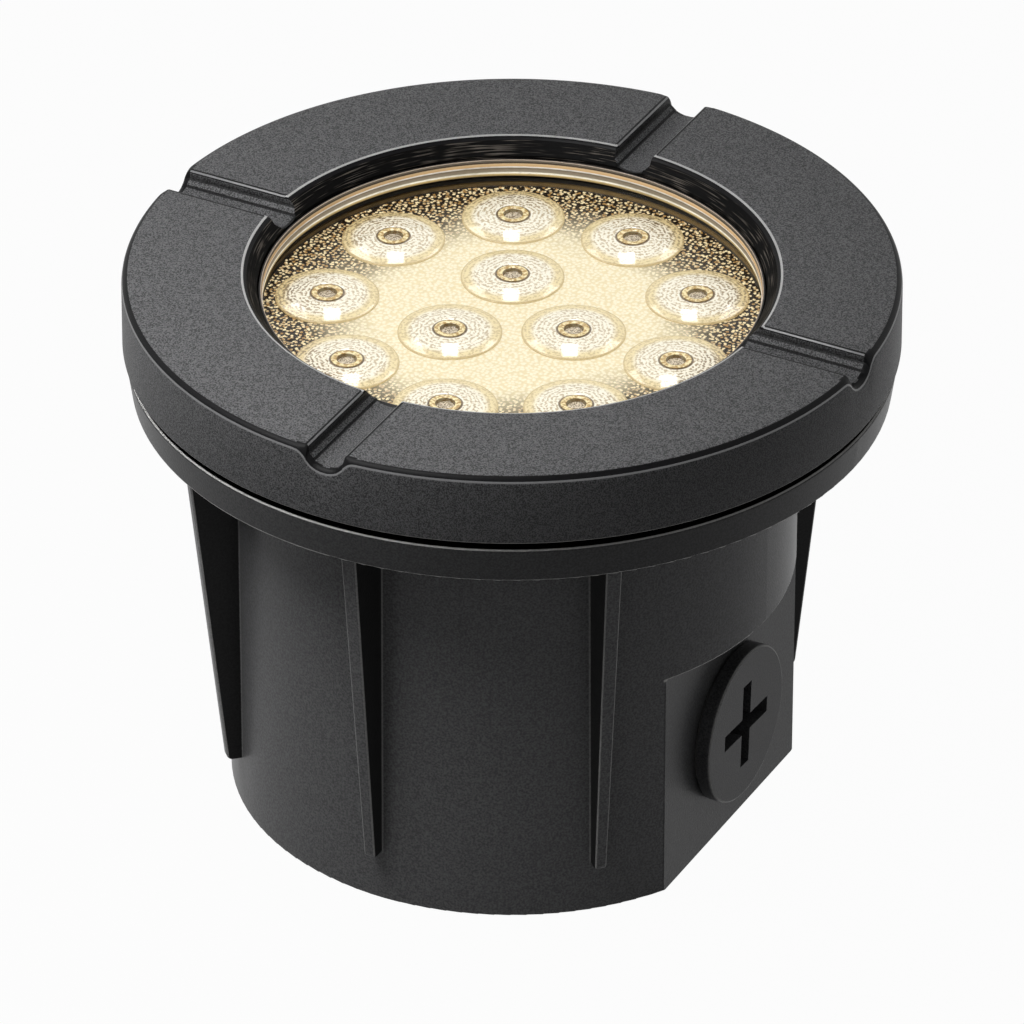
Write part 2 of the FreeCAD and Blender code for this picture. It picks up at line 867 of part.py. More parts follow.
def driver_board_screws():
    length = driver_board_thickness + screw_bite - pilot_gap
    places = standoff_places()
    return Part.makeCompound([screw(small_screw, length, x, y, driver_board_top) for x, y in places])


def driver_components():
    """Transformer, capacitors, choke and chips that stand on the driver board."""
    winding = block(transformer_winding, transformer_spot[0], transformer_spot[1], driver_board_top)
    core = block(transformer_core, transformer_spot[0], transformer_spot[1], driver_board_top)
    pieces = [winding.fuse(core)]
    for x, y in capacitor_spots:
        pieces.append(cylinder(capacitor_radius, driver_board_top, driver_board_top + capacitor_height, x, y))
    choke_top = driver_board_top + choke_height
    pieces.append(ring(choke_radius, choke_hole, driver_board_top, choke_top, choke_spot[0], choke_spot[1]))
    for x, y in chip_spots:
        pieces.append(block(chip_size, x, y, driver_board_top))
    return Part.makeCompound(pieces)


def gland_body():
    lock_top = case_floor_top + gland_locknut_height
    hexagonal = hexagon(gland_hex_radius, gland_hex_foot, case_foot, 0, gland_offset)
    thread = cylinder(gland_thread_radius, gland_hex_foot, lock_top, 0, gland_offset)
    stub = cylinder(gland_stub_radius, gland_hex_foot - gland_stub, case_foot, 0, gland_offset)
    bore_foot = gland_hex_foot - gland_stub - overcut
    bore = cylinder(lead_radius + soft_gap, bore_foot, lock_top + overcut, 0, gland_offset)
    return hexagonal.fuse(thread).fuse(stub).cut(bore)


def gland_locknut():
    lock_top = case_floor_top + gland_locknut_height
    nut = hexagon(gland_hex_radius, case_floor_top, lock_top, 0, gland_offset)
    return nut.cut(cylinder(gland_thread_radius + soft_gap, case_foot, lock_top + overcut, 0, gland_offset))


def gland_nut():
    nut = hexagon(gland_hex_radius, gland_nut_foot, gland_hex_foot, 0, gland_offset)
    hollow_foot = gland_nut_foot + gland_nut_floor
    hollow = cylinder(gland_stub_radius + soft_gap, hollow_foot, gland_hex_foot + overcut, 0, gland_offset)
    mouth = cylinder(lead_radius + slide_gap, gland_nut_foot - overcut, case_foot, 0, gland_offset)
    return nut.cut(hollow).cut(mouth)


def gland_seal():
    low = gland_nut_foot + gland_nut_floor
    return ring(gland_stub_radius, lead_radius + pilot_gap, low, low + gland_seal_height, 0, gland_offset)


def lead_route():
    """Points of the module's lead, from inside the driver case down to the terminal block."""
    entry = block_foot + block_size[2] / 2
    return [
        Vector(0, gland_offset, case_floor_top + lead_stub),
        Vector(0, gland_offset, entry + 15.0),
        Vector(0, gland_offset + 5.0, entry + 4.0),
        Vector(0, gland_offset + 12.0, entry),
        Vector(0, block_face, entry),
    ]


def module_lead():
    """Tube along the lead's route: straight runs joined by tangent arcs, as large as the runs allow."""
    points = lead_route()
    edges = []
    last = points[0]
    for before, here, after in zip(points, points[1:], points[2:]):
        back = before - here
        ahead = after - here
        half = back.getAngle(ahead) / 2
        reach = 0.45 * min(back.Length, ahead.Length)
        radius = reach * math.tan(half)
        back.normalize()
        ahead.normalize()
        start = here + back * reach
        end = here + ahead * reach
        middle = here + (back + ahead).normalize() * (radius / math.sin(half) - radius)
        edges.append(Part.makeLine(last, start))
        edges.append(Part.Arc(start, middle, end).toShape())
        last = end
    edges.append(Part.makeLine(last, points[-1]))
    path = Part.Wire(edges)
    outline = Part.Wire(Part.makeCircle(lead_radius, points[0], up))
    return path.makePipeShell([outline], True, True)


def terminal_block():
    """Barrier strip: a low base with ears, and a barrier at each side of every way."""
    width, depth, height = block_size
    body = block(block_size, 0, block_offset, block_foot)
    first = -block_ways * block_way_width / 2
    for step in range(block_ways + 1):
        wall = (block_barrier, depth, height + block_barrier_rise)
        body = body.fuse(block(wall, first + step * block_way_width, block_offset, block_foot))
    for x, y in block_ear_places():
        body = body.cut(cylinder(small_screw[0] + screw_gap, block_foot - overcut, block_top + overcut, x, y))
    return body


def terminal_clamps():
    """A clamp screw at both ends of every way of the terminal block."""
    clamps = []
    for step in range(block_ways):
        x = (step - (block_ways - 1) / 2) * block_way_width
        for side in (1, -1):
            y = block_offset + side * block_clamp_spacing / 2
            clamp = cylinder(block_clamp_radius, block_top, block_top + block_clamp_height, x, y)
            slot = (2 * block_clamp_radius, recess_width, block_clamp_height)
            clamps.append(clamp.cut(block(slot, x, y, block_top + block_clamp_height / 2)))
    return Part.makeCompound(clamps)


def block_screws():
    length = block_size[2] + screw_bite - pilot_gap
    return Part.makeCompound([screw(small_screw, length, x, y, block_top) for x, y in block_ear_places()])


def placed_at_entry(shape):
    """Piece made about the Z axis, with the flat at height 0, turned out along +X at the plugged entry."""
    shape.rotate(origin, Vector(0, 1, 0), 90)
    shape.translate(Vector(flat_distance, 0, entry_height))
    return shape


def conduit_plug():
    """Plug with a washer under its head, a cross slot in its face and a thread cut in its shank."""
    seat = plug_washer_thickness
    top = seat + plug_head_thickness
    shank_radius = entry_radius - running_gap
    body = spun([
        (0, seat - plug_shank),
        (shank_radius, seat - plug_shank, plug_edge_round),
        (shank_radius, seat),
        (plug_head_radius, seat),
        (plug_head_radius, top, plug_edge_round),
        (0, top),
    ])
    low = seat - plug_shank + plug_pitch / 2
    half = plug_thread_width / 2
    corners = [
        Vector(shank_radius + soft_gap, 0, -half),
        Vector(shank_radius - plug_thread_depth, 0, 0),
        Vector(shank_radius + soft_gap, 0, half),
    ]
    path = Part.Wire(Part.makeHelix(plug_pitch, plug_shank - 2 * plug_pitch, shank_radius).Edges)
    thread = path.makePipeShell([Part.makePolygon(corners + corners[:1])], True, True)
    thread.translate(Vector(0, 0, low))
    body = body.cut(thread)
    for size in ((plug_slot_span, plug_slot_width), (plug_slot_width, plug_slot_span)):
        slot = block((size[0], size[1], plug_slot_depth + overcut), 0, 0, top - plug_slot_depth)
        body = body.cut(turned(slot, plug_slot_turn))
    return placed_at_entry(body)


def plug_washer():
    inner = entry_radius + slide_gap
    return placed_at_entry(ring(plug_head_radius - plug_washer_inset, inner, 0, plug_washer_thickness))


nodes = {
    "housing": housing,
    "cover_ring": cover_ring,
    "cover_slip_ring": slip_ring,
    "lens": lens,
    "lens_gasket": lens_gasket,
    "lens_seat_gasket": seat_gasket,
    "module_body": module_body,
    "module_gasket": module_gasket,
    "module_screws": module_screws,
    "optic_plate": optic_plate,
    "led_optics": led_optics,
    "led_emitters": emitters,
    "led_board": led_board,
    "thermal_pad": thermal_pad,
    "board_screws": board_screws,
    "board_leads": board_leads,
    "lead_sleeve": lead_sleeve,
    "case_cover": case_cover,
    "case_gasket": case_gasket,
    "driver_case": driver_case,
    "case_screws": case_screws,
    "driver_board": driver_board,
    "driver_board_screws": driver_board_screws,
    "driver_components": driver_components,
    "gland_body": gland_body,
    "gland_locknut": gland_locknut,
    "gland_nut": gland_nut,
    "gland_seal": gland_seal,
    "module_lead": module_lead,
    "terminal_block": terminal_block,
    "terminal_clamps": terminal_clamps,
    "block_screws": block_screws,
    "conduit_plug": conduit_plug,
    "plug_washer": plug_washer,
}

os.makedirs("parts", exist_ok=True)
for name, make in nodes.items():
    piece = make()
    piece.exportStep("parts/" + name + ".step")
    print(name, len(piece.Solids), round(piece.Volume, 1), piece.isValid())
print("cover travel", round(cover_lift, 3), "plug travel", round(plug_travel, 3))
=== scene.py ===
import math

import bmesh
import bpy
from mathutils import Matrix, Vector, noise


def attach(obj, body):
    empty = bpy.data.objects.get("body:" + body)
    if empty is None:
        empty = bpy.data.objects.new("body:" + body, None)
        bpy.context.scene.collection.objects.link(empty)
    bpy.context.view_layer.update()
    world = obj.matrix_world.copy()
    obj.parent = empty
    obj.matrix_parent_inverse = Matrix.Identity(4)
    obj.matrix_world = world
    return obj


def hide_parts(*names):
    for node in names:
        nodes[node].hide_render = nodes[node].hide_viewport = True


# In ground well light. The housing, module, driver, gland and terminal pieces stay as packed and
# get their finishes here. The cover ring, lens, gasket, optics, optic plate and emitters are
# modelled below. +Z is up, +X points out of the plugged conduit entry.

mm = 0.001
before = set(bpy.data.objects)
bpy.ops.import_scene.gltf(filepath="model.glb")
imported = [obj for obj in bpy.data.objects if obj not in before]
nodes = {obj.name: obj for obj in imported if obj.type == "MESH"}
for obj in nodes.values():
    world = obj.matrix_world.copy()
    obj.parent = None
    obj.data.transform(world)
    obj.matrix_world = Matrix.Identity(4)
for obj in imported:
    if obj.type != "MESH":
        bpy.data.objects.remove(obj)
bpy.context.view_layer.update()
print("frame loaded:", len(nodes), "nodes")


# shader maths: a socket that takes operators, and a finish that holds its nodes
class Value:
    def __init__(self, finish, socket):
        self.finish = finish
        self.socket = socket

    def __add__(self, other):
        return self.finish.sum("ADD", self, other)

    def __radd__(self, other):
        return self.finish.sum("ADD", other, self)

    def __sub__(self, other):
        return self.finish.sum("SUBTRACT", self, other)

    def __rsub__(self, other):
        return self.finish.sum("SUBTRACT", other, self)

    def __mul__(self, other):
        return self.finish.sum("MULTIPLY", self, other)

    def __rmul__(self, other):
        return self.finish.sum("MULTIPLY", other, self)

    def __truediv__(self, other):
        return self.finish.sum("DIVIDE", self, other)

    def __pow__(self, other):
        return self.finish.sum("POWER", self, other)

    def sine(self):
        return self.finish.sum("SINE", self)

    def step(self, low, high):  # 0 below low, 1 above high, smooth between
        settings = {"interpolation_type": "SMOOTHSTEP"}
        sockets = {"Value": self, "From Min": low, "From Max": high}
        return self.finish.node("ShaderNodeMapRange", settings, sockets)

    def band(self, low, high, soft):  # 1 between low and high, with soft flanks
        return self.step(low - soft, low + soft) * (1 - self.step(high - soft, high + soft))


def rgb(red, green, blue):  # a colour as it looks on screen, 0 to 255
    linear = []
    for part in (red, green, blue):
        part /= 255
        linear.append(part / 12.92 if part <= 0.04045 else ((part + 0.055) / 1.055) ** 2.4)
    return (*linear, 1.0)


class Finish:
    def __init__(self, name):
        self.material = bpy.data.materials.new(name)
        self.material.use_nodes = True
        self.tree = self.material.node_tree
        self.tree.nodes.clear()
        self.place = self.node("ShaderNodeTexCoord", {}, {}, "Object")

    def node(self, kind, settings, sockets, output=0):
        made = self.tree.nodes.new(kind)
        for key, value in settings.items():
            if key == "stops":
                while len(made.color_ramp.elements) < len(value):
                    made.color_ramp.elements.new(0.5)
                for element, (place, colour) in zip(made.color_ramp.elements, value):
                    element.position = place
                    element.color = colour
            else:
                setattr(made, key, value)
        for key, value in sockets.items():
            if isinstance(value, Value):
                self.tree.links.new(value.socket, made.inputs[key])
            else:
                made.inputs[key].default_value = value
        return Value(self, made.outputs[output]) if made.outputs else made

    def stretched(self, scale):  # object coordinates, scaled along each axis
        return self.node("ShaderNodeMapping", {}, {"Vector": self.place, "Scale": scale})

    def noise(self, size, detail=2.0, place=None):  # size of one blotch in metres
        sockets = {"Vector": place or self.place, "Scale": 1 / size, "Detail": detail, "Roughness": 0.55}
        return self.node("ShaderNodeTexNoise", {}, sockets)

    def mix(self, factor, first, second):  # blends two colours
        return self.node("ShaderNodeMix", {"data_type": "RGBA"}, {0: factor, 6: first, 7: second}, 2)

    def ramp(self, value, stops):
        return self.node("ShaderNodeValToRGB", {"stops": stops}, {"Fac": value})

    def bump(self, height, depth):
        return self.node("ShaderNodeBump", {}, {"Strength": 1.0, "Distance": depth, "Height": height})

    def axes(self):
        parts = self.node("ShaderNodeSeparateXYZ", {}, {"Vector": self.place})
        split = parts.socket.node
        return [Value(self, split.outputs[index]) for index in range(3)]

    def radius(self):  # distance from the light's axis
        x, y, height = self.axes()
        return self.sum("SQRT", x * x + y * y), height

    def sum(self, operation, first, second=0.0):
        return self.node("ShaderNodeMath", {"operation": operation}, {0: first, 1: second})

    def finish(self, shader):
        self.node("ShaderNodeOutputMaterial", {}, {"Surface": shader})
        return self.material

    def solid(self, sockets):
        return self.finish(self.node("ShaderNodeBsdfPrincipled", {}, sockets))


# finishes
compositeLooks = {
    # moulded grain of the ring and plug, and the smoother wall of the can; the can's copy is painted
    # lighter as a painted sheen and the plug's darker as painted shade
    "ring": {
        "valley": rgb(50, 50, 51), "ridge": rgb(98, 98, 99), "low": 0.38, "high": 0.62,
        "grain": 0.29 * mm, "grainDepth": 0.14 * mm, "roughness": 0.45, "specular": 0.08,
    },
    "can": {
        "valley": rgb(86, 86, 87), "ridge": rgb(115, 115, 116), "low": 0.3, "high": 0.7,
        "grain": 0.45 * mm, "grainDepth": 0.05 * mm, "roughness": 0.36, "specular": 0.08,
    },
    "plug": {
        "valley": rgb(48, 48, 49), "ridge": rgb(74, 74, 75), "low": 0.3, "high": 0.7,
        "grain": 0.4 * mm, "grainDepth": 0.05 * mm, "roughness": 0.4, "specular": 0.08,
    },
}
# edge colours: a near-white painted highlight for bright lines on edges, and a near-black painted shade for
# creases and hollows
edgeLook = {
    "wearAndHighlight": rgb(226, 225, 222),
    "paintedShade": rgb(6, 6, 6),
    "grain": 0.35 * mm,
    "grainDepth": 0.03 * mm,
    "roughness": 0.34,
}


def compositeFinish(name, look, paintedHighlight=None, paintedShade=None):
    # leathery moulded grain: fine pebbles over soft wrinkles
    # the first function gives where bright highlight lines are painted along edges, the second where
    # painted shade darkens the surface
    f = Finish(name)
    fine = f.noise(look["grain"], 1.0)
    wrinkle = f.noise(look["grain"] * 4, 1.0)
    height = fine * 0.9 + wrinkle * 0.1
    colour = f.mix(height.step(look["low"], look["high"]), look["valley"], look["ridge"])
    if paintedHighlight:
        colour = f.mix(paintedHighlight(f) * (0.6 + 0.4 * fine), colour, edgeLook["wearAndHighlight"])
    if paintedShade:
        colour = f.mix(paintedShade(f), colour, edgeLook["paintedShade"])
    return f.solid({
        "Base Color": colour,
        "Roughness": look["roughness"] + 0.2 * (fine - 0.5),
        "Specular IOR Level": look["specular"],
        "Normal": f.bump(height, look["grainDepth"]),
    })


def paintedEdgeFinish(name, first, second, specular):
    # rounded corners painted as bands of shade, sheen and highlight, with a fine mottle
    f = Finish(name)
    fine = f.noise(edgeLook["grain"], 1.0)
    return f.solid({
        "Base Color": f.mix(fine, first, second),
        "Roughness": edgeLook["roughness"] + 0.15 * fine,
        "Specular IOR Level": specular,
        "Normal": f.bump(fine, edgeLook["grainDepth"]),
    })


plainLooks = {
    # first and second colour, blotch size, roughness, metallic, bump depth
    "powderCoat": (rgb(46, 46, 47), rgb(62, 62, 63), 0.5 * mm, 0.55, 0.0, 0.04 * mm),
    "blackRubber": (rgb(34, 34, 34), rgb(48, 47, 45), 0.8 * mm, 0.75, 0.0, 0.02 * mm),
    "slipPlastic": (rgb(214, 211, 202), rgb(226, 224, 217), 1.5 * mm, 0.35, 0.0, 0.01 * mm),
    "steel": (rgb(176, 174, 170), rgb(205, 203, 199), 0.4 * mm, 0.3, 1.0, 0.01 * mm),
    "boardWhite": (rgb(225, 226, 222), rgb(240, 240, 236), 1.2 * mm, 0.4, 0.0, 0.01 * mm),
    "gapPad": (rgb(138, 143, 150), rgb(158, 162, 168), 0.9 * mm, 0.85, 0.0, 0.05 * mm),
    "leadRed": (rgb(150, 26, 22), rgb(178, 38, 30), 1.0 * mm, 0.45, 0.0, 0.01 * mm),
    "casePlastic": (rgb(44, 44, 45), rgb(58, 58, 60), 0.7 * mm, 0.5, 0.0, 0.03 * mm),
    "sheetAluminium": (rgb(182, 184, 186), rgb(206, 207, 208), 2.0 * mm, 0.35, 1.0, 0.01 * mm),
    "boardGreen": (rgb(18, 84, 48), rgb(30, 112, 66), 1.6 * mm, 0.35, 0.0, 0.02 * mm),
    "components": (rgb(38, 38, 42), rgb(62, 60, 60), 3.0 * mm, 0.4, 0.0, 0.02 * mm),
    "nylon": (rgb(40, 40, 41), rgb(56, 56, 57), 0.6 * mm, 0.4, 0.0, 0.02 * mm),
    "leadJacket": (rgb(30, 30, 31), rgb(44, 44, 45), 0.5 * mm, 0.6, 0.0, 0.03 * mm),
    "clampBrass": (rgb(178, 146, 86), rgb(206, 176, 112), 0.8 * mm, 0.3, 1.0, 0.01 * mm),
}


def plainFinish(name):
    first, second, size, roughness, metallic, depth = plainLooks[name]
    f = Finish(name)
    spots = f.noise(size, 3.0)
    wearAndHighlight = f.noise(size * 12, 2.0).step(0.35, 0.7)
    return f.solid({
        "Base Color": f.mix(spots.step(0.3, 0.7) * 0.7 + wearAndHighlight * 0.3, first, second),
        "Roughness": roughness + 0.15 * (spots - 0.5) + 0.1 * wearAndHighlight,
        "Metallic": metallic,
        "Normal": f.bump(spots, depth),
    })


nodeFinishes = {
    "blackRubber": [
        "lens_seat_gasket", "module_gasket", "case_gasket", "gland_seal", "lead_sleeve", "plug_washer",
    ],
    "slipPlastic": ["cover_slip_ring"],
    "steel": ["module_screws", "board_screws", "case_screws", "driver_board_screws", "block_screws"],
    "boardWhite": ["led_board"],
    "gapPad": ["thermal_pad"],
    "leadRed": ["board_leads"],
    "casePlastic": ["driver_case", "terminal_block"],
    "sheetAluminium": ["case_cover"],
    "boardGreen": ["driver_board"],
    "components": ["driver_components"],
    "nylon": ["gland_body", "gland_locknut", "gland_nut"],
    "leadJacket": ["module_lead"],
    "clampBrass": ["terminal_clamps"],
}


def dress(thing, material):
    thing.data.materials.clear()
    thing.data.materials.append(material)


housingEdges = {
    "flangeTop": 105.7,
    "flangeFoot": 97.4,
    "flangeReach": 80.3,
    "flangeSide": (79.0, 79.2),         # outside this lies the flange's side
    "seamReach": 81.5,
    "seamDrop": (0.4, 0.2),             # below the flange's top, painted shade fades in over this
    "flatTop": 53.8,
    "flatFace": 53.0,
    "canRadius": 61.2,
    "ribFoot": (12.0, 1.25, 64.5),      # height, half thickness and reach at the rib's two ends
    "ribTop": (98.0, 1.75, 73.1),
    "ribLine": 0.28,
    "line": 0.2,
    "lineSoft": 0.05,
    "ribSoft": 0.06,
    "footLine": 2.3,                    # lines this many times as broad on the flange's lower corner
    "topLine": 1.5,                     # and this many below its upper corner
    "topHighlight": 0.9,
    "cornerHighlight": 0.38,
    "rootHighlight": 0.34,
    "ribShade": 0.92,
    "flangeShade": 0.64,
    "flatShade": 0.4,
}


def ribPlace(f, along, across, height):
    # share of the rib's height, then how far a point lies in from its side and out past its face
    footHeight, footHalf, footReach = housingEdges["ribFoot"]
    topHeight, topHalf, topReach = housingEdges["ribTop"]
    share = (height - footHeight * mm) / ((topHeight - footHeight) * mm)
    half = footHalf * mm + share * ((topHalf - footHalf) * mm)
    reach = footReach * mm + share * ((topReach - footReach) * mm)
    return share, half - f.sum("ABSOLUTE", across), along - reach


def ribLines(f, along, across, height):
    # painted highlight lines on the two corners of a rib's outer face, and where its sides meet the can
    line = housingEdges["ribLine"] * mm
    soft = housingEdges["ribSoft"] * mm
    share, inward, past = ribPlace(f, along, across, height)
    corner = inward.band(-line, line, soft) * (past + 1.5 * line).step(-soft, soft)
    wall = (along - (housingEdges["canRadius"] + 0.25) * mm).band(-0.6 * mm, 0, soft)
    root = inward.band(-1.2 * line, 0, soft) * wall
    paintedHighlight = corner * housingEdges["cornerHighlight"] + root * housingEdges["rootHighlight"]
    return paintedHighlight * share.band(0, 1, 0.01)


def ribSides(f, along, across, height):
    # the side faces between those lines, darkened with painted shade
    line = housingEdges["ribLine"] * mm
    soft = housingEdges["ribSoft"] * mm
    share, inward, past = ribPlace(f, along, across, height)
    clear = 1 - (past + 1.5 * line).step(-soft, soft)
    outside = (along - (housingEdges["canRadius"] + 0.1) * mm).step(0, soft)
    return inward.band(-2 * line, line, soft) * clear * outside


def allRibs(f, mask, height):
    # eight ribs: four on the axes and four between them
    x, y, z = f.axes()
    right = f.sum("ABSOLUTE", x)
    deep = f.sum("ABSOLUTE", y)
    slant = math.sqrt(0.5)
    straight = mask(f, deep, right, height)
    return straight + mask(f, (right + deep) * slant, (right - deep) * slant, height), right


def housingHighlights(f):
    # painted highlight lines on the flange's two corners, on the can's lip over the flats and along the
    # ribs
    radius, height = f.radius()
    edges = housingEdges
    line = edges["line"] * mm
    soft = edges["lineSoft"] * mm
    top = edges["flangeTop"] * mm
    foot = edges["flangeFoot"] * mm
    flat = edges["flatTop"] * mm
    reach = radius.step((edges["flangeReach"] - 0.3) * mm, edges["flangeReach"] * mm)
    upper = height.band(top - edges["topLine"] * line, top + line, soft) * edges["topHighlight"]
    corners = upper + height.band(foot, foot + edges["footLine"] * line, soft)
    wall = radius.step((edges["canRadius"] - 0.4) * mm, (edges["canRadius"] - 0.3) * mm)
    ribs, right = allRibs(f, ribLines, height)
    overFlat = height.band(flat - line, flat + 2 * line, soft)
    overFlat = overFlat * right.step((edges["flatFace"] - 0.4) * mm, (edges["flatFace"] - 0.2) * mm)
    return f.sum("MINIMUM", reach * corners + wall * overFlat + ribs, 1.0)


def housingShade(f):
    # painted shade on the step under the cover ring, the ribs' sides, the flange's side and the flats
    radius, height = f.radius()
    edges = housingEdges
    sides, right = allRibs(f, ribSides, height)
    inside = 1 - radius.step((edges["seamReach"] - 0.1) * mm, (edges["seamReach"] + 0.1) * mm)
    start, full = edges["seamDrop"]
    step = inside * height.step((edges["flangeTop"] - start) * mm, (edges["flangeTop"] - full) * mm)
    under = 1 - height.step((edges["flangeFoot"] - 0.2) * mm, edges["flangeFoot"] * mm)
    soft = edges["lineSoft"] * mm
    foot = (edges["flangeFoot"] + edges["footLine"] * edges["line"]) * mm
    top = (edges["flangeTop"] - edges["topLine"] * edges["line"]) * mm
    inner, outer = edges["flangeSide"]
    side = radius.step(inner * mm, outer * mm) * height.band(foot, top, soft)
    flange = side * edges["flangeShade"]
    face = right.band((edges["flatFace"] - 0.2) * mm, (edges["flatFace"] + 0.2) * mm, soft)
    below = 1 - height.step((edges["flatTop"] - 0.4) * mm, (edges["flatTop"] - 0.2) * mm)
    flat = face * below * edges["flatShade"]
    return f.sum("MINIMUM", step + sides * edges["ribShade"] * under + flange * (1 - under) + flat, 1.0)


plugEdge = {
    "height": 26.0,
    "radius": 17.6,
    "face": 56.8,
    "line": (0.42, 0.1),       # the painted highlight line lies this far inside the rim
    "paintedHighlight": 0.35,
}


def plugHighlight(f):
    # thin painted highlight line round the head's face
    x, y, z = f.axes()
    rise = z - plugEdge["height"] * mm
    around = f.sum("SQRT", y * y + rise * rise)
    radius = plugEdge["radius"] * mm
    start, end = plugEdge["line"]
    line = around.band(radius - start * mm, radius - end * mm, 0.06 * mm)
    front = x.step((plugEdge["face"] - 0.6) * mm, (plugEdge["face"] - 0.4) * mm)
    return line * front * plugEdge["paintedHighlight"]


moduleWall = {
    "radius": 54.6,
    "foot": 112.4,
    "top": 113.7,
}


def moduleFinish():
    # powder coat, with the light of the optics on the wall just above their plate
    f = Finish("powderCoat")
    first, second, size, roughness, metallic, depth = plainLooks["powderCoat"]
    mottle = f.noise(size, 2.0)
    radius, height = f.radius()
    wall = 1 - radius.step((moduleWall["radius"] - 0.1) * mm, moduleWall["radius"] * mm)
    warm = wall * height.band(moduleWall["foot"] * mm, moduleWall["top"] * mm, 0.15 * mm)
    coat = f.mix(mottle, first, second)
    glow = f.mix(mottle, rgb(104, 86, 54), rgb(134, 112, 74))
    return f.solid({
        "Base Color": f.mix(warm, coat, glow),
        "Roughness": roughness,
        "Metallic": metallic,
        "Normal": f.bump(mottle, depth),
    })


canLook = compositeLooks["can"]
dress(nodes["housing"], compositeFinish("housingComposite", canLook, housingHighlights, housingShade))
dress(nodes["conduit_plug"], compositeFinish("plugComposite", compositeLooks["plug"], plugHighlight))
dress(nodes["module_body"], moduleFinish())
for finishName, nodeNames in nodeFinishes.items():
    material = plainFinish(finishName)
    for nodeName in nodeNames:
        dress(nodes[nodeName], material)
print("finishes for the packed nodes made")


# mesh helpers
def outline(bm, corners, closed=True):
    # wire from (radius, height, round) corners in mm, in the XZ plane
    verts = [bm.verts.new((corner[0] * mm, 0, corner[1] * mm)) for corner in corners]
    for first, second in zip(verts, verts[1:]):
        bm.edges.new((first, second))
    if closed:
        bm.edges.new((verts[-1], verts[0]))
    for vert, corner in zip(verts, corners):
        if len(corner) > 2:
            bmesh.ops.bevel(
                bm, geom=[vert], offset=corner[2] * mm, offset_type="OFFSET", affect="VERTICES",
                segments=6, profile=0.5, material=-1,
            )


def spun(corners, steps, closed=True):
    bm = bmesh.new()
    outline(bm, corners, closed)
    bmesh.ops.spin(
        bm, geom=bm.verts[:] + bm.edges[:], cent=(0, 0, 0), axis=(0, 0, 1), dvec=(0, 0, 0),
        angle=math.tau, steps=steps, use_merge=True, use_normal_flip=False, use_duplicate=False,
    )
    bmesh.ops.remove_doubles(bm, verts=bm.verts, dist=0.001 * mm)
    bmesh.ops.recalc_face_normals(bm, faces=bm.faces)
    return bm


def piece(name, bm, materials, body, replaced=(), sharp=35):
    mesh = bpy.data.meshes.new(name)
    bm.to_mesh(mesh)
    bm.free()
    mesh.shade_smooth()
    mesh.set_sharp_from_angle(angle=math.radians(sharp))
    for material in materials:
        mesh.materials.append(material)
    made = bpy.data.objects.new(name, mesh)
    bpy.context.scene.collection.objects.link(made)
    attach(made, body)
    if replaced:
        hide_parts(*replaced)
    print(name, len(mesh.polygons), "faces")
    return made


def around(radius, count, start):
    spots = []
    for index in range(count):
        angle = math.radians(start + 360 * index / count)
        spots.append(Vector((radius * math.cos(angle), radius * math.sin(angle), 0)) * mm)
    return spots


# cover ring
coverRing = {
    "corners": [(82.6, 107.6, 0.5), (82.5, 123.4, 1.7), (56.7, 123.4, 0.8)],
    "innerCorners": [
        (53.9, 120.0), (53.9, 117.3), (60.1, 117.3), (60.1, 116.8), (59.5, 116.8), (59.5, 116.3),
        (75.1, 116.3), (75.1, 107.6),
    ],
    "funnel": (56.7, 123.4, 53.9, 120.0),
    "funnelSteps": 9,
    "steps": 288,
    "top": 123.4,
    "rimInside": 80.7,         # outside this the corner's round follows each groove down
    "rimOutside": 82.4,
    "paintedStripEdge": 5.15,         # the strip of painted shade and sheen ends here beside each groove
    "mouth": [
        (7.4, 0.0), (6.4, 0.12), (5.6, 0.55), (4.9, 1.25), (4.2, 2.1), (3.2, 3.05), (2.0, 3.65), (0.8, 3.9),
    ],
    "grooveHalf": 4.3,
    "shoulder": 0.6,
    "grooveSteps": [(4.25, 1.8), (4.0, 2.1), (3.1, 2.9), (2.95, 3.25), (2.6, 3.45), (1.8, 3.7), (0.8, 3.9)],
    "threadRadius": 75.1,
    "threadFoot": 109.75,
    "threadTurns": 1.32,
    "threadPitch": 4.0,
    "threadDepth": 1.6,
    "funnelStreak": 0.2 * mm,
    "footLine": (107.5, 107.9),
    "footSide": (81.9, 82.1),
    "footHighlight": 0.75,
    "wallShade": (3.95, 4.28, 0.8),     # from and to this far from a groove's middle, and how strong
    "creaseShade": (2.7, 3.12, 0.85),
    "endShade": (-1.0, 3.0, 0.85),
    "endReach": (54.3, 54.7),
    "shadeReach": (53.8, 81.6),
    "shadeHeight": (119.0, 122.7),
    "funnelEdge": 56.3,        # inside this the wall has the funnel's finish
    "funnelDeep": 0.8,         # from here down
    "grooveLow": 6.0,          # no groove reaches this far down
    "openingEdge": 57.5,       # inside this lies the opening's rounded corner
    "openingDeep": 0.85,
    "brightDeep": 0.2,         # the opening's corner has a painted highlight down to here
    "darkDeep": 0.85,          # the outer corner has painted shade down to here, then a painted sheen
    "paleDeep": 1.35,
    "shoulderPale": (0.05, 0.35),
    "shoulderDeep": 0.5,
}


def ringCorners(ring):
    top, high, low, foot = ring["funnel"]
    funnel = []
    for index in range(2, ring["funnelSteps"]):
        share = index / ring["funnelSteps"]
        funnel.append((top + share * (low - top), high + share * (foot - high)))
    return ring["corners"] + funnel + ring["innerCorners"]


def grooveProfile(ring):
    # stations across one groove, as (distance from its middle line, depth) in mm
    stations = []
    for index in range(5):
        angle = math.radians(90 * index / 4)
        reach = ring["grooveHalf"] + ring["shoulder"] * (1 - math.sin(angle))
        stations.append((reach, ring["shoulder"] * (1 - math.cos(angle))))
    return stations + ring["grooveSteps"]


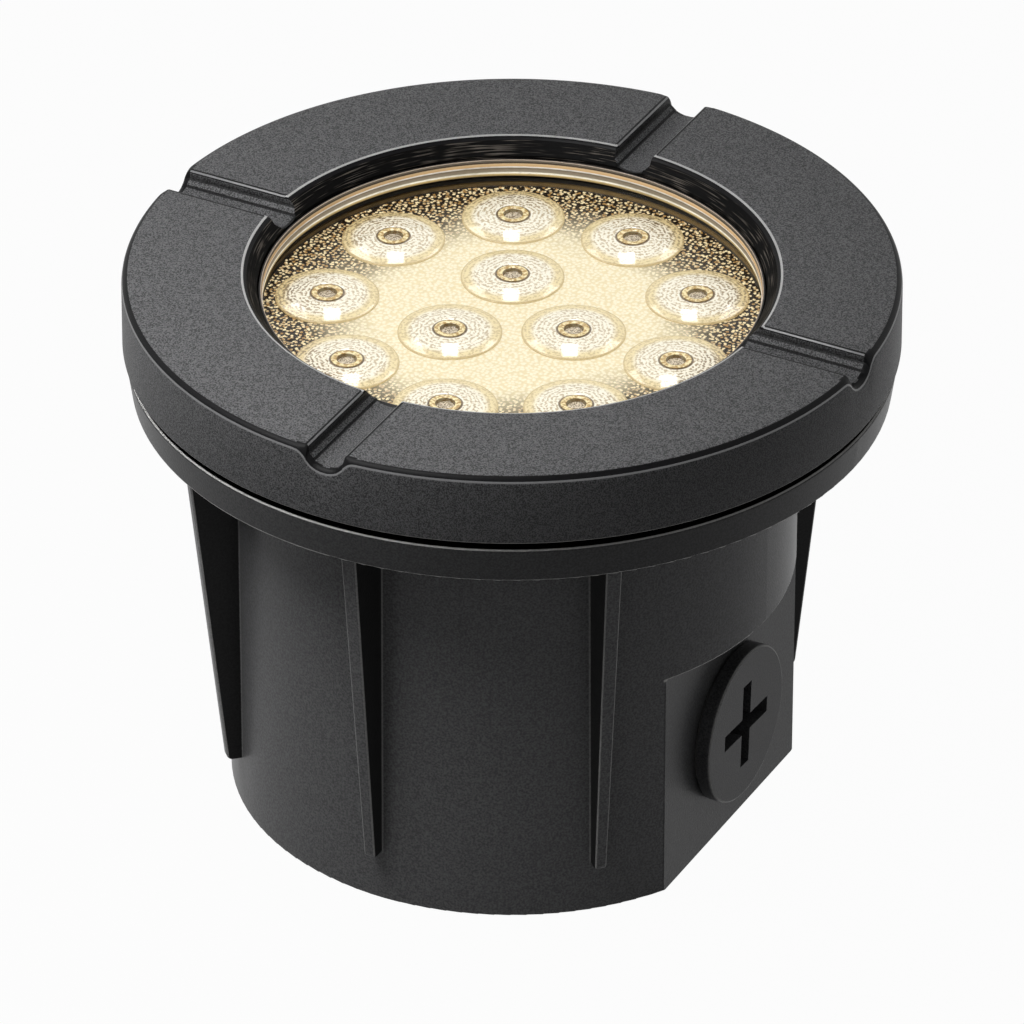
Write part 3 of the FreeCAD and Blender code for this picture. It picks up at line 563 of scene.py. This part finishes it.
def grooveDepth(stations, offset):
    # depth between two stations
    if offset >= stations[0][0]:
        return 0.0
    for outer, inner in zip(stations, stations[1:]):
        if offset >= inner[0]:
            share = (outer[0] - offset) / (outer[0] - inner[0])
            return outer[1] + share * (inner[1] - outer[1])
    return stations[-1][1]


def grooveDrop(ring, stations, radius, offset):
    # the groove's own profile widens to a soft mouth at the ring's outer corner
    depth = grooveDepth(stations, offset)
    outward = (radius - ring["rimInside"]) / (ring["rimOutside"] - ring["rimInside"])
    if outward <= 0:
        return depth
    return depth + min(1.0, outward) ** 2 * (grooveDepth(ring["mouth"], offset) - depth)


def cutGrooves(bm, ring):
    # cuts the ring along each station of its four grooves, then lowers it there
    stations = grooveProfile(ring)
    cuts = ring["mouth"][:3] + [(ring["paintedStripEdge"], 0.0)] + stations
    reach = (cuts[0][0] + 2) * mm
    for quarter in range(4):
        along = Matrix.Rotation(math.radians(90 * quarter), 3, "Z") @ Vector((1, 0, 0))
        across = Vector((-along.y, along.x, 0))
        for side in (1, -1):
            for offset, depth in cuts:
                near = [
                    face for face in bm.faces
                    if face.calc_center_median().dot(along) > 0
                    and abs(face.calc_center_median().dot(across)) < reach
                ]
                geometry = {item for face in near for item in (face, *face.edges, *face.verts)}
                bmesh.ops.bisect_plane(
                    bm, geom=list(geometry), dist=0.001 * mm, plane_co=across * side * offset * mm,
                    plane_no=across, use_snap_center=False, clear_outer=False, clear_inner=False,
                )
    for vert in bm.verts:
        offset = min(abs(vert.co.x), abs(vert.co.y)) / mm
        radius = vert.co.xy.length / mm
        drop = grooveDrop(ring, stations, radius, offset)
        if radius > ring["rimInside"] and vert.co.z > (ring["top"] - 2) * mm:
            vert.co.z -= drop * mm
        elif vert.co.z > (ring["top"] - ring["grooveLow"]) * mm:
            vert.co.z = min(vert.co.z, (ring["top"] - drop) * mm)


def threadRidge(bm, ring):
    # trapezoid ridge that climbs the skirt's inner wall
    wall = ring["threadRadius"]
    crest = wall - ring["threadDepth"]
    section = [(wall + 0.3, -1.0), (crest, -0.5), (crest, 0.5), (wall + 0.3, 1.0)]
    foot = ring["threadFoot"]
    verts = [bm.verts.new((radius * mm, 0, (foot + rise) * mm)) for radius, rise in section]
    start = bm.faces.new(verts)
    turns = ring["threadTurns"]
    steps = round(96 * turns)
    bmesh.ops.spin(
        bm, geom=[start, *start.edges, *verts], cent=(0, 0, 0), axis=(0, 0, 1),
        dvec=(0, 0, ring["threadPitch"] * turns * mm / steps), angle=math.tau * turns,
        steps=steps, use_merge=False, use_normal_flip=False, use_duplicate=False,
    )


def ringFootHighlight(f):
    # painted highlight line at the ring's foot
    radius, height = f.radius()
    low, high = coverRing["footLine"]
    inner, outer = coverRing["footSide"]
    foot = height.band(low * mm, high * mm, 0.06 * mm) * radius.step(inner * mm, outer * mm)
    return foot * coverRing["footHighlight"]


def grooveShade(f):
    # painted shade on the steep wall of each groove, in the crease at the side of its floor and at its end
    radius, height = f.radius()
    x, y, z = f.axes()
    offset = f.sum("MINIMUM", f.sum("ABSOLUTE", x), f.sum("ABSOLUTE", y))
    soft = 0.05 * mm
    marks = []
    for name in ("wallShade", "creaseShade", "endShade"):
        low, high, strength = coverRing[name]
        marks.append(offset.band(low * mm, high * mm, soft) * strength)
    wall, crease, end = marks
    inner, outer = coverRing["endReach"]
    end = end * (1 - radius.step(inner * mm, outer * mm))
    inner, outer = coverRing["shadeReach"]
    low, high = coverRing["shadeHeight"]
    inside = radius.band(inner * mm, outer * mm, soft) * height.band(low * mm, high * mm, 0.1 * mm)
    return f.sum("MINIMUM", wall + crease + end, 0.9) * inside


def funnelFinish():
    # the turned funnel: painted near black as shade, with fine turning streaks that run round it painted
    # bright as highlights
    f = Finish("funnelComposite")
    streaks = f.noise(coverRing["funnelStreak"], 0.0, f.stretched((0.025, 0.025, 1)))
    patches = f.noise(6 * mm, 1.0)
    fine = f.noise(0.5 * mm, 1.0)
    lines = streaks.step(0.54, 0.7) * patches.step(0.36, 0.66)
    return f.solid({
        "Base Color": f.mix(lines, rgb(5, 5, 5), rgb(84, 79, 74)),
        "Roughness": 0.5 + 0.2 * fine,
        "Specular IOR Level": 0.05,
        "Normal": f.bump(streaks, 0.05 * mm),
    })


ringMesh = spun(ringCorners(coverRing), coverRing["steps"])
cutGrooves(ringMesh, coverRing)
bmesh.ops.remove_doubles(ringMesh, verts=ringMesh.verts, dist=0.002 * mm)
bmesh.ops.dissolve_degenerate(ringMesh, edges=ringMesh.edges, dist=0.001 * mm)
ringMesh.normal_update()
ringStations = grooveProfile(coverRing)


def ringSlot(face, ring):
    # 0 composite, 1 funnel, 2 painted shade on edges, 3 painted sheen on edges, 4 painted highlight on
    # edges
    middle = face.calc_center_median() / mm
    radius = middle.xy.length
    inward = -face.normal.xy.dot(middle.xy.normalized())
    offset = min(abs(middle.x), abs(middle.y))
    deep = ring["top"] - middle.z
    below = deep - grooveDrop(ring, ringStations, radius, offset)
    slanted = abs(face.normal.z) < 0.99
    low = ring["grooveLow"]
    if radius < ring["funnelEdge"] and ring["funnelDeep"] < deep < low and inward > 0.5:
        return 1
    if deep < low and slanted and abs(face.normal.z) > 0.03 and radius > ring["rimInside"]:
        if below < ring["darkDeep"]:
            return 2
        return 3 if below < ring["paleDeep"] else 0
    if deep < ring["openingDeep"] and slanted and radius < ring["openingEdge"]:
        return 4 if deep < ring["brightDeep"] else 2
    beside = ring["grooveHalf"] < offset < ring["paintedStripEdge"]
    if deep < ring["shoulderDeep"] and beside and face.normal.z > 0.1:
        return 3 if ring["shoulderPale"][0] < deep < ring["shoulderPale"][1] else 2
    return 0


for face in ringMesh.faces:
    face.material_index = ringSlot(face, coverRing)
threadRidge(ringMesh, coverRing)
bmesh.ops.recalc_face_normals(ringMesh, faces=ringMesh.faces)
ringFinishes = [
    compositeFinish("ringComposite", compositeLooks["ring"], ringFootHighlight, grooveShade),
    funnelFinish(),
    paintedEdgeFinish("edgePaintedShade", rgb(8, 8, 9), rgb(20, 20, 21), 0.08),
    paintedEdgeFinish("edgePaintedSheen", rgb(70, 70, 71), rgb(102, 102, 103), 0.9),
    paintedEdgeFinish("edgePaintedHighlight", rgb(124, 124, 124), rgb(176, 175, 173), 1.0),
]
piece("coverRing", ringMesh, ringFinishes, "cover", ["cover_ring"])

# lens
lens = {
    "foot": 114.0,
    "shoulder": 115.5,
    "top": 118.0,
    "face": 52.9,
    "flange": 59.2,
    "steps": 256,
}


def lensClearFinish():
    # coated glass: clear, with a faint gloss
    f = Finish("lensClear")
    haze = f.noise(25 * mm, 2.0)
    clear = f.node("ShaderNodeBsdfTransparent", {}, {"Color": (0.99, 0.985, 0.975, 1)})
    gloss = f.node("ShaderNodeBsdfPrincipled", {}, {"Base Color": rgb(20, 19, 18), "Roughness": 0.03})
    facing = f.node("ShaderNodeLayerWeight", {}, {"Blend": 0.5}, "Facing")
    shine = facing ** 4.0 * (0.4 + haze * 0.2)
    return f.finish(f.node("ShaderNodeMixShader", {}, {0: shine, 1: clear, 2: gloss}))


def lensEdgeFinish():
    # ground wall of the raised face; emission paints the optics' light on it as a glow, with painted
    # highlights at both corners and grey between them
    f = Finish("lensEdge")
    radius, height = f.radius()
    level = (height - lens["shoulder"] * mm) / ((lens["top"] - lens["shoulder"]) * mm)
    streaks = f.noise(0.35 * mm, 2.0, f.stretched((0.25, 0.25, 1.6)))
    bands = f.ramp(level, [
        (0.0, rgb(120, 98, 62)), (0.10, rgb(170, 146, 96)), (0.19, rgb(214, 188, 130)),
        (0.27, rgb(255, 253, 240)), (0.36, rgb(240, 232, 210)), (0.42, rgb(142, 132, 116)),
        (0.70, rgb(130, 118, 100)), (0.76, rgb(62, 51, 34)), (0.83, rgb(212, 205, 190)),
        (0.92, rgb(242, 238, 234)), (1.0, rgb(196, 180, 160)),
    ])
    drift = f.noise(16 * mm, 2.0).step(0.35, 0.7)
    colour = f.mix(streaks.step(0.42, 0.72) * 0.3 + drift * 0.3, bands, rgb(104, 92, 70))
    return f.solid({
        "Base Color": f.mix(0.85, colour, rgb(20, 16, 10)),
        "Roughness": 0.3 + streaks * 0.2,
        "Emission Color": colour,
        "Emission Strength": 0.95,
    })


lensMesh = spun([
    (0, lens["foot"]), (lens["flange"], lens["foot"], 0.4), (lens["flange"], lens["shoulder"], 0.4),
    (lens["face"], lens["shoulder"]), (lens["face"], lens["top"], 0.35), (0, lens["top"]),
], lens["steps"], closed=False)
for face in lensMesh.faces:
    middle = face.calc_center_median()
    if middle.z > (lens["shoulder"] - 0.05) * mm and abs(face.normal.z) < 0.9:
        face.material_index = 1
piece("lensDisc", lensMesh, [lensClearFinish(), lensEdgeFinish()], "light", ["lens"])

# lens gasket with its lip
gasket = {
    "lipInner": 53.0,
    "lipOuter": 53.6,
    "foot": 115.5,
    "flangeTop": 116.5,
    "flangeOuter": 58.6,
    "lipTop": 119.4,
}


def siliconeFinish():
    # dark lip; emission paints the optics' warm light on its inner wall as an amber painted glow near the
    # glass, with pale painted highlight lines higher up
    f = Finish("silicone")
    radius, height = f.radius()
    fine = f.noise(0.4 * mm, 2.0)
    level = (height - lens["top"] * mm) / ((gasket["lipTop"] - lens["top"]) * mm)
    inner = 1 - radius.step(53.1 * mm, 53.25 * mm)
    bands = f.ramp(level + (fine - 0.5) * 0.08, [
        (0.0, rgb(168, 138, 98)), (0.32, rgb(176, 152, 118)), (0.42, rgb(60, 50, 40)),
        (0.62, rgb(44, 38, 30)), (0.72, rgb(104, 98, 88)), (0.80, rgb(34, 28, 18)),
        (1.0, rgb(150, 136, 122)),
    ])
    colour = f.mix(inner, rgb(26, 24, 22), bands)
    return f.solid({
        "Base Color": colour,
        "Roughness": 0.45 + 0.2 * fine,
        "Specular IOR Level": 0.3,
        "Emission Color": f.mix(inner, (0, 0, 0, 1), bands),
        "Emission Strength": 0.6,
        "Normal": f.bump(fine, 0.02 * mm),
    })


gasketMesh = spun([
    (gasket["lipInner"], gasket["foot"]), (gasket["flangeOuter"], gasket["foot"]),
    (gasket["flangeOuter"], gasket["flangeTop"], 0.3), (gasket["lipOuter"], gasket["flangeTop"]),
    (gasket["lipOuter"], gasket["lipTop"], 0.2), (gasket["lipInner"], gasket["lipTop"], 0.2),
], lens["steps"])
piece("lensGasket", gasketMesh, [siliconeFinish()], "light", ["lens_gasket"])

# optics
optics = {
    "radius": 11.1,
    "outerCircle": 39.9,
    "innerCircle": 15.1,
    "start": 117.6,
    "plateTop": 112.5,
    "rise": 1.2,
    "edge": 0.35,
    "neck": 9.8,
    "plate": 2.0,
    "depth": 9.4,
    "foot": 5.0,
    "socket": 3.0,
    "socketDepth": 2.4,
    "eye": 2.0,
    "eyeRim": 3.65,
    "eyeDepth": 0.8,
    "steps": 72,
    "domeRings": 14,
}
opticPlaces = around(optics["outerCircle"], 9, optics["start"])
opticPlaces += around(optics["innerCircle"], 3, optics["start"])


def domeHeight(radius):
    rise = optics["rise"] - optics["edge"]
    sphere = (optics["radius"] ** 2 + rise ** 2) / (2 * rise)
    return optics["edge"] + math.sqrt(sphere ** 2 - radius ** 2) - (sphere - rise)


def opticCorners():
    rim = optics["eyeRim"]
    top = optics["rise"]
    socketTop = optics["socketDepth"] - optics["depth"]
    corners = [
        (0, top - optics["eyeDepth"]), (optics["eye"], top - optics["eyeDepth"], 0.15),
        (optics["eye"] + 0.05, top - 0.1, 0.1), (optics["eye"] + 0.45, top, 0.2),
        (rim - 0.35, top, 0.25), (rim, domeHeight(rim) - 0.12, 0.1),
    ]
    for index in range(1, optics["domeRings"]):
        radius = rim + (optics["radius"] - rim) * index / optics["domeRings"]
        corners.append((radius, domeHeight(radius)))
    corners += [
        (optics["radius"], optics["edge"], 0.12), (optics["radius"], 0.0), (optics["neck"], 0.0),
        (optics["neck"], -optics["plate"], 0.2), (optics["foot"], -optics["depth"]),
        (optics["socket"], -optics["depth"]), (optics["socket"], socketTop, 0.6), (0, socketTop),
    ]
    return corners


def opticFinish():
    # emission paints the LEDs' light into the optics: a painted glow, ripple strokes painted bright as
    # highlights, and the outer optics painted darker as the light falls off
    f = Finish("opticGlow")
    place = f.node("ShaderNodeUVMap", {"uv_map": "dome"}, {})
    split = f.node("ShaderNodeSeparateXYZ", {}, {"Vector": place}).socket.node
    across = Value(f, split.outputs[0])
    along = Value(f, split.outputs[1])
    radius = f.sum("SQRT", across * across + along * along)      # in mm from the optic's axis
    fromAxis, height = f.radius()
    # concentric ripples that break up into short strokes
    broad = f.noise(2.6 * mm, 1.0)
    strokes = f.noise(0.62 * mm, 1.0)
    wave = ((radius / 0.95 + broad * 2.0) * math.tau).sine() * 0.5 + 0.5
    ripple = (wave * 0.3 + strokes * 1.6).step(0.76, 1.06)
    rim = radius.step(7.8, 9.6)
    outer = (fromAxis + (broad - 0.5) * 8 * mm).step(38 * mm, 52 * mm)
    base = f.mix(rim, rgb(252, 245, 222), rgb(240, 224, 176))
    base = f.mix(outer * 0.55, base, rgb(206, 178, 122))
    dark = f.mix(strokes.step(0.35, 0.65), rgb(160, 130, 82), rgb(216, 190, 140))
    dark = f.mix(outer, dark, rgb(84, 62, 32))
    depth = 0.62 + outer * 0.33 - rim * 0.2
    body = f.mix((1 - ripple) * depth, base, dark)
    lit = f.mix(ripple * (1 - rim) * 0.5, body, rgb(255, 254, 244))
    speckle = f.noise(0.3 * mm, 1.0)
    chip = f.mix(speckle.step(0.38, 0.6), rgb(112, 94, 66), rgb(228, 214, 188))
    chip = f.mix(outer * 0.6, chip, rgb(110, 84, 46))
    gold = f.mix(f.noise(0.8 * mm, 1.0).step(0.38, 0.62), rgb(186, 150, 84), rgb(250, 234, 180))
    eye = f.mix(radius.step(1.86, 1.98), chip, gold)
    lined = f.mix(radius.band(1.84, 2.14, 0.06) * 0.85, eye, rgb(70, 52, 28))
    colour = f.mix(radius.step(3.4, 3.5), lined, lit)
    broken = (0.55 + strokes * 0.7) * radius.band(3.3, 3.76, 0.08)
    colour = f.mix(broken, colour, rgb(88, 66, 34))
    colour = f.mix(radius.step(10.5, 10.95) * strokes * 0.8, colour, rgb(170, 138, 84))
    return f.solid({
        "Base Color": f.mix(0.85, colour, rgb(20, 16, 10)),
        "Roughness": 0.3 + 0.1 * strokes,
        "Specular IOR Level": 0.2,
        "Coat Weight": 1.0,
        "Coat Roughness": 0.05,
        "Emission Color": colour,
        "Emission Strength": 0.93,
        "Normal": f.bump(strokes, 0.012 * mm),
    })


single = spun(opticCorners(), optics["steps"], closed=False)
opticMesh = bmesh.new()
uvLayer = opticMesh.loops.layers.uv.new("dome")
template = bpy.data.meshes.new("opticTemplate")
single.to_mesh(template)
single.free()
for spot in opticPlaces:
    before = len(opticMesh.verts)
    opticMesh.from_mesh(template)
    opticMesh.verts.ensure_lookup_table()
    fresh = opticMesh.verts[before:]
    for vert in fresh:
        for loop in vert.link_loops:
            loop[uvLayer].uv = (vert.co.x / mm, vert.co.y / mm)
    bmesh.ops.translate(opticMesh, verts=fresh, vec=spot + Vector((0, 0, optics["plateTop"] * mm)))
bpy.data.meshes.remove(template)
piece("opticDomes", opticMesh, [opticFinish()], "light", ["led_optics"])

# optic plate with its pebbled face
plate = {
    "radius": 53.4,
    "top": 112.5,
    "thickness": 2.0,
    "hole": 9.9,
    "cell": 0.34,
    "pebble": 0.95,
    "pebbleRise": 0.26,
    "legCircle": 27.8,
    "legRadius": 2.2,
    "legFoot": 102.7,
}


def pebbleHeight(point):
    near, second = noise.voronoi(Vector((point.x, point.y, 0)) / (plate["pebble"] * mm))[0][:2]
    return min(1.0, 1.9 * (second - near)) ** 0.6


def pebbledPlate():
    cells = round(2 * plate["radius"] / plate["cell"])
    bm = bmesh.new()
    bmesh.ops.create_grid(bm, x_segments=cells, y_segments=cells, size=plate["radius"] * mm)
    rounds = [(Vector((0, 0, 0)), plate["radius"] * mm, 1)]
    rounds += [(spot, plate["hole"] * mm, -1) for spot in opticPlaces]
    snap = 0.55 * plate["cell"] * mm
    doomed = set()
    for centre, radius, keep in rounds:
        for vert in bm.verts:
            away = vert.co - centre
            if abs(away.length - radius) < snap:
                vert.co = centre + away.normalized() * radius
            elif (away.length > radius) == (keep == 1):
                doomed.add(vert)
    bmesh.ops.delete(bm, geom=list(doomed), context="VERTS")
    loose = [vert for vert in bm.verts if not vert.link_faces]
    bmesh.ops.delete(bm, geom=loose, context="VERTS")
    rim = {vert for edge in bm.edges if edge.is_boundary for vert in edge.verts}
    for vert in bm.verts:
        if vert not in rim:
            vert.co.z += (pebbleHeight(vert.co) - 1) * plate["pebbleRise"] * mm
    bmesh.ops.translate(bm, verts=bm.verts, vec=(0, 0, plate["top"] * mm))
    edges = [edge for edge in bm.edges if edge.is_boundary]
    walls = bmesh.ops.extrude_edge_only(bm, edges=edges)["geom"]
    low = [item for item in walls if isinstance(item, bmesh.types.BMVert)]
    for vert in low:
        vert.co.z = (plate["top"] - plate["thickness"]) * mm
    lowEdges = [item for item in walls if isinstance(item, bmesh.types.BMEdge) and item.is_boundary]
    bmesh.ops.triangle_fill(bm, use_beauty=True, use_dissolve=False, edges=lowEdges, normal=(0, 0, -1))
    bmesh.ops.recalc_face_normals(bm, faces=bm.faces)
    return bm


def pebbleFinish():
    # emission paints the optics' light on the plate: painted glints on the pebbles over dark valleys at the
    # edge, and an even painted glow near the middle
    f = Finish("pebbleGlow")
    radius, height = f.radius()
    flat = f.stretched((1, 1, 0))
    settings = {"feature": "F1", "voronoi_dimensions": "2D"}
    sockets = {"Vector": flat, "Scale": 1 / (plate["pebble"] * mm), "Randomness": 0.8}
    distance = f.node("ShaderNodeTexVoronoi", settings, sockets)
    speck = f.noise(0.4 * mm, 1.0, flat)
    tint = f.noise(1.3 * mm, 1.0, flat)
    cloud = f.noise(15 * mm, 2.0, flat)
    crown = 1 - distance * 1.3
    glow = 1 - (radius + (cloud - 0.5) * 16 * mm).step(27 * mm, 47 * mm)
    hard = (crown * 1.1 + speck * 0.6).step(0.78, 1.02)
    gold = f.mix(tint.step(0.36, 0.6), rgb(170, 132, 78), rgb(250, 232, 186))
    far = f.mix(hard, rgb(24, 16, 8), gold)
    soft = (crown * 0.9 + speck * 0.2).step(0.3, 0.8)
    near = f.mix(soft, rgb(238, 223, 182), rgb(252, 244, 218))
    colour = f.mix(glow, far, near)
    return f.solid({
        "Base Color": f.mix(0.85, colour, rgb(20, 14, 8)),
        "Roughness": 0.25 + 0.15 * speck,
        "Specular IOR Level": 0.3,
        "Emission Color": colour,
        "Emission Strength": 0.93,
        "Normal": f.bump(crown, 0.08 * mm),
    })


plateMesh = pebbledPlate()
for spot in around(plate["legCircle"], 3, optics["start"] + 60):
    leg = bmesh.ops.create_cone(
        plateMesh, cap_ends=True, segments=32, radius1=plate["legRadius"] * mm,
        radius2=plate["legRadius"] * mm, depth=(plate["top"] - plate["thickness"] - plate["legFoot"]) * mm,
    )["verts"]
    middle = (plate["top"] - plate["thickness"] + plate["legFoot"]) / 2
    bmesh.ops.translate(plateMesh, verts=leg, vec=spot + Vector((0, 0, middle * mm)))
piece("pebbledPlate", plateMesh, [pebbleFinish()], "light", ["optic_plate"], sharp=60)

# emitters
emitter = {
    "width": 3.5,
    "base": 0.9,
    "foot": 102.7,
    "dome": 1.3,
    "corner": 0.25,
}


def emitterFinish():
    f = Finish("phosphor")
    radius, height = f.radius()
    speck = f.noise(0.3 * mm, 2.0)
    rim = emitter["foot"] + emitter["base"]
    above = height.step((rim - 0.05) * mm, (rim + 0.05) * mm)
    package = f.mix(speck, rgb(226, 222, 208), rgb(240, 238, 230))
    phosphor = f.mix(speck, rgb(226, 176, 60), rgb(246, 206, 96))
    colour = f.mix(above, package, phosphor)
    return f.solid({
        "Base Color": colour,
        "Roughness": 0.3 + 0.2 * speck,
        "Normal": f.bump(speck, 0.02 * mm),
    })


emitterMesh = bmesh.new()
for spot in opticPlaces:
    box = bmesh.ops.create_cube(emitterMesh, size=1.0)["verts"]
    extent = Vector((emitter["width"], emitter["width"], emitter["base"])) * mm
    bmesh.ops.scale(emitterMesh, vec=extent, verts=box)
    upright = [
        edge for edge in {edge for vert in box for edge in vert.link_edges}
        if abs(edge.verts[0].co.z - edge.verts[1].co.z) > 0.5 * emitter["base"] * mm
    ]
    bmesh.ops.bevel(
        emitterMesh, geom=upright, offset=emitter["corner"] * mm, offset_type="OFFSET", affect="EDGES",
        segments=3, profile=0.5, material=-1,
    )
    box = list({vert for vert in emitterMesh.verts if vert.co.length < emitter["width"] * mm})
    cap = bmesh.ops.create_uvsphere(
        emitterMesh, u_segments=24, v_segments=14, radius=emitter["dome"] * mm,
    )["verts"]
    bmesh.ops.translate(emitterMesh, verts=cap, vec=(0, 0, emitter["base"] / 2 * mm))
    lift = spot + Vector((0, 0, (emitter["foot"] + emitter["base"] / 2) * mm))
    bmesh.ops.translate(emitterMesh, verts=list(set(box) | set(cap)), vec=lift)
piece("emitterChips", emitterMesh, [emitterFinish()], "light", ["led_emitters"])

# floor, backdrop and lamps
stage = {
    "floorSize": 6.0,
    "floorColour": rgb(126, 126, 126),
    "floorGrain": rgb(120, 120, 120),
    "floorShown": 0.97,        # share of the floor that shows as plain white
    "roomLight": 0.12,
    "ceilingGloss": 0.12,      # what glossy surfaces see overhead
}


def shownRays(f):
    # camera, glossy and glass rays see the white backdrop itself
    path = f.node("ShaderNodeLightPath", {}, {}).socket.node
    rays = ("Is Camera Ray", "Is Glossy Ray", "Is Transmission Ray")
    seen = [Value(f, path.outputs[name]) for name in rays]
    return f.sum("MINIMUM", seen[0] + seen[1] + seen[2], 1.0)


def floorFinish():
    f = Finish("paleFloor")
    grain = f.noise(0.05, 2.0)
    colour = f.mix(grain, stage["floorColour"], stage["floorGrain"])
    plain = f.node("ShaderNodeBsdfDiffuse", {}, {"Color": colour})
    white = f.node("ShaderNodeEmission", {}, {"Color": (1, 1, 1, 1), "Strength": 1.0})
    shown = shownRays(f) * stage["floorShown"]
    return f.finish(f.node("ShaderNodeMixShader", {}, {0: shown, 1: plain, 2: white}))


class Backdrop(Finish):
    # the world's own node tree, used as a finish
    def __init__(self, world):
        world.use_nodes = True
        self.tree = world.node_tree
        self.tree.nodes.clear()
        self.place = self.node("ShaderNodeTexCoord", {}, {}, "Generated")


def buildStage():
    bm = bmesh.new()
    bmesh.ops.create_grid(bm, x_segments=1, y_segments=1, size=stage["floorSize"] / 2)
    mesh = bpy.data.meshes.new("floor")
    bm.to_mesh(mesh)
    bm.free()
    mesh.materials.append(floorFinish())
    floor = bpy.data.objects.new("floor", mesh)
    bpy.context.scene.collection.objects.link(floor)
    world = bpy.data.worlds.new("studio")
    f = Backdrop(world)
    overhead = f.axes()[2].step(0.72, 0.92)
    backdrop = f.mix(overhead, (1, 1, 1, 1), (*[stage["ceilingGloss"]] * 3, 1))
    seen = f.node("ShaderNodeBackground", {}, {"Color": backdrop, "Strength": 1.0})
    light = f.node("ShaderNodeBackground", {}, {"Color": (1, 1, 1, 1), "Strength": stage["roomLight"]})
    mixed = f.node("ShaderNodeMixShader", {}, {0: shownRays(f), 1: light, 2: seen})
    f.node("ShaderNodeOutputWorld", {}, {"Surface": mixed})
    bpy.context.scene.world = world


view = {
    "target": Vector((0, 0, 0.0629)),
    "distance": 2.0,
    "elevation": 32.5,
    "azimuth": 28.0,
    "lens": 327.6,
}
lamps = {
    # angle from the camera (right is positive), elevation, distance, width, height, radiance
    "keyLeft": (-62, 60, 0.34, 0.20, 0.20, 9.0),
    "softFront": (5, 30, 1.5, 0.9, 0.4, 0.5),
    "blobBack": (180.5, 44.6, 6.0, 0.36, 0.72, 12.0),
    "fanBackLeft": (-169.4, 42, 6.0, 0.40, 1.1, 5.0),
    "fanBackRight": (168.6, 42, 6.0, 0.40, 1.1, 5.0),
    "rimRight": (100, 12, 1.3, 0.2, 0.8, 0.7),
}


def towards(angle, elevation):
    turn = math.radians(view["azimuth"] + angle)
    rise = math.radians(elevation)
    return Vector((math.sin(turn) * math.cos(rise), -math.cos(turn) * math.cos(rise), math.sin(rise)))


def lamp(name, angle, elevation, distance, width, height, radiance):
    data = bpy.data.lights.new(name, "AREA")
    data.shape = "RECTANGLE"
    data.size = width
    data.size_y = height
    data.energy = radiance * math.pi * width * height
    made = bpy.data.objects.new(name, data)
    bpy.context.scene.collection.objects.link(made)
    direction = towards(angle, elevation)
    made.location = view["target"] + direction * distance
    made.rotation_euler = direction.to_track_quat("Z", "Y").to_euler()


buildStage()
for lampName, settings in lamps.items():
    lamp(lampName, *settings)

cameraData = bpy.data.cameras.new("camera")
cameraData.lens = view["lens"]
cameraData.clip_start = 0.01
camera = bpy.data.objects.new("camera", cameraData)
bpy.context.scene.collection.objects.link(camera)
cameraSide = towards(0, view["elevation"])
camera.location = view["target"] + cameraSide * view["distance"]
camera.rotation_euler = cameraSide.to_track_quat("Z", "Y").to_euler()
bpy.context.scene.camera = camera
bpy.context.scene.view_settings.view_transform = "Standard"
print("stage, lamps and camera set")

# bring the scene up to date
bpy.context.view_layer.update()
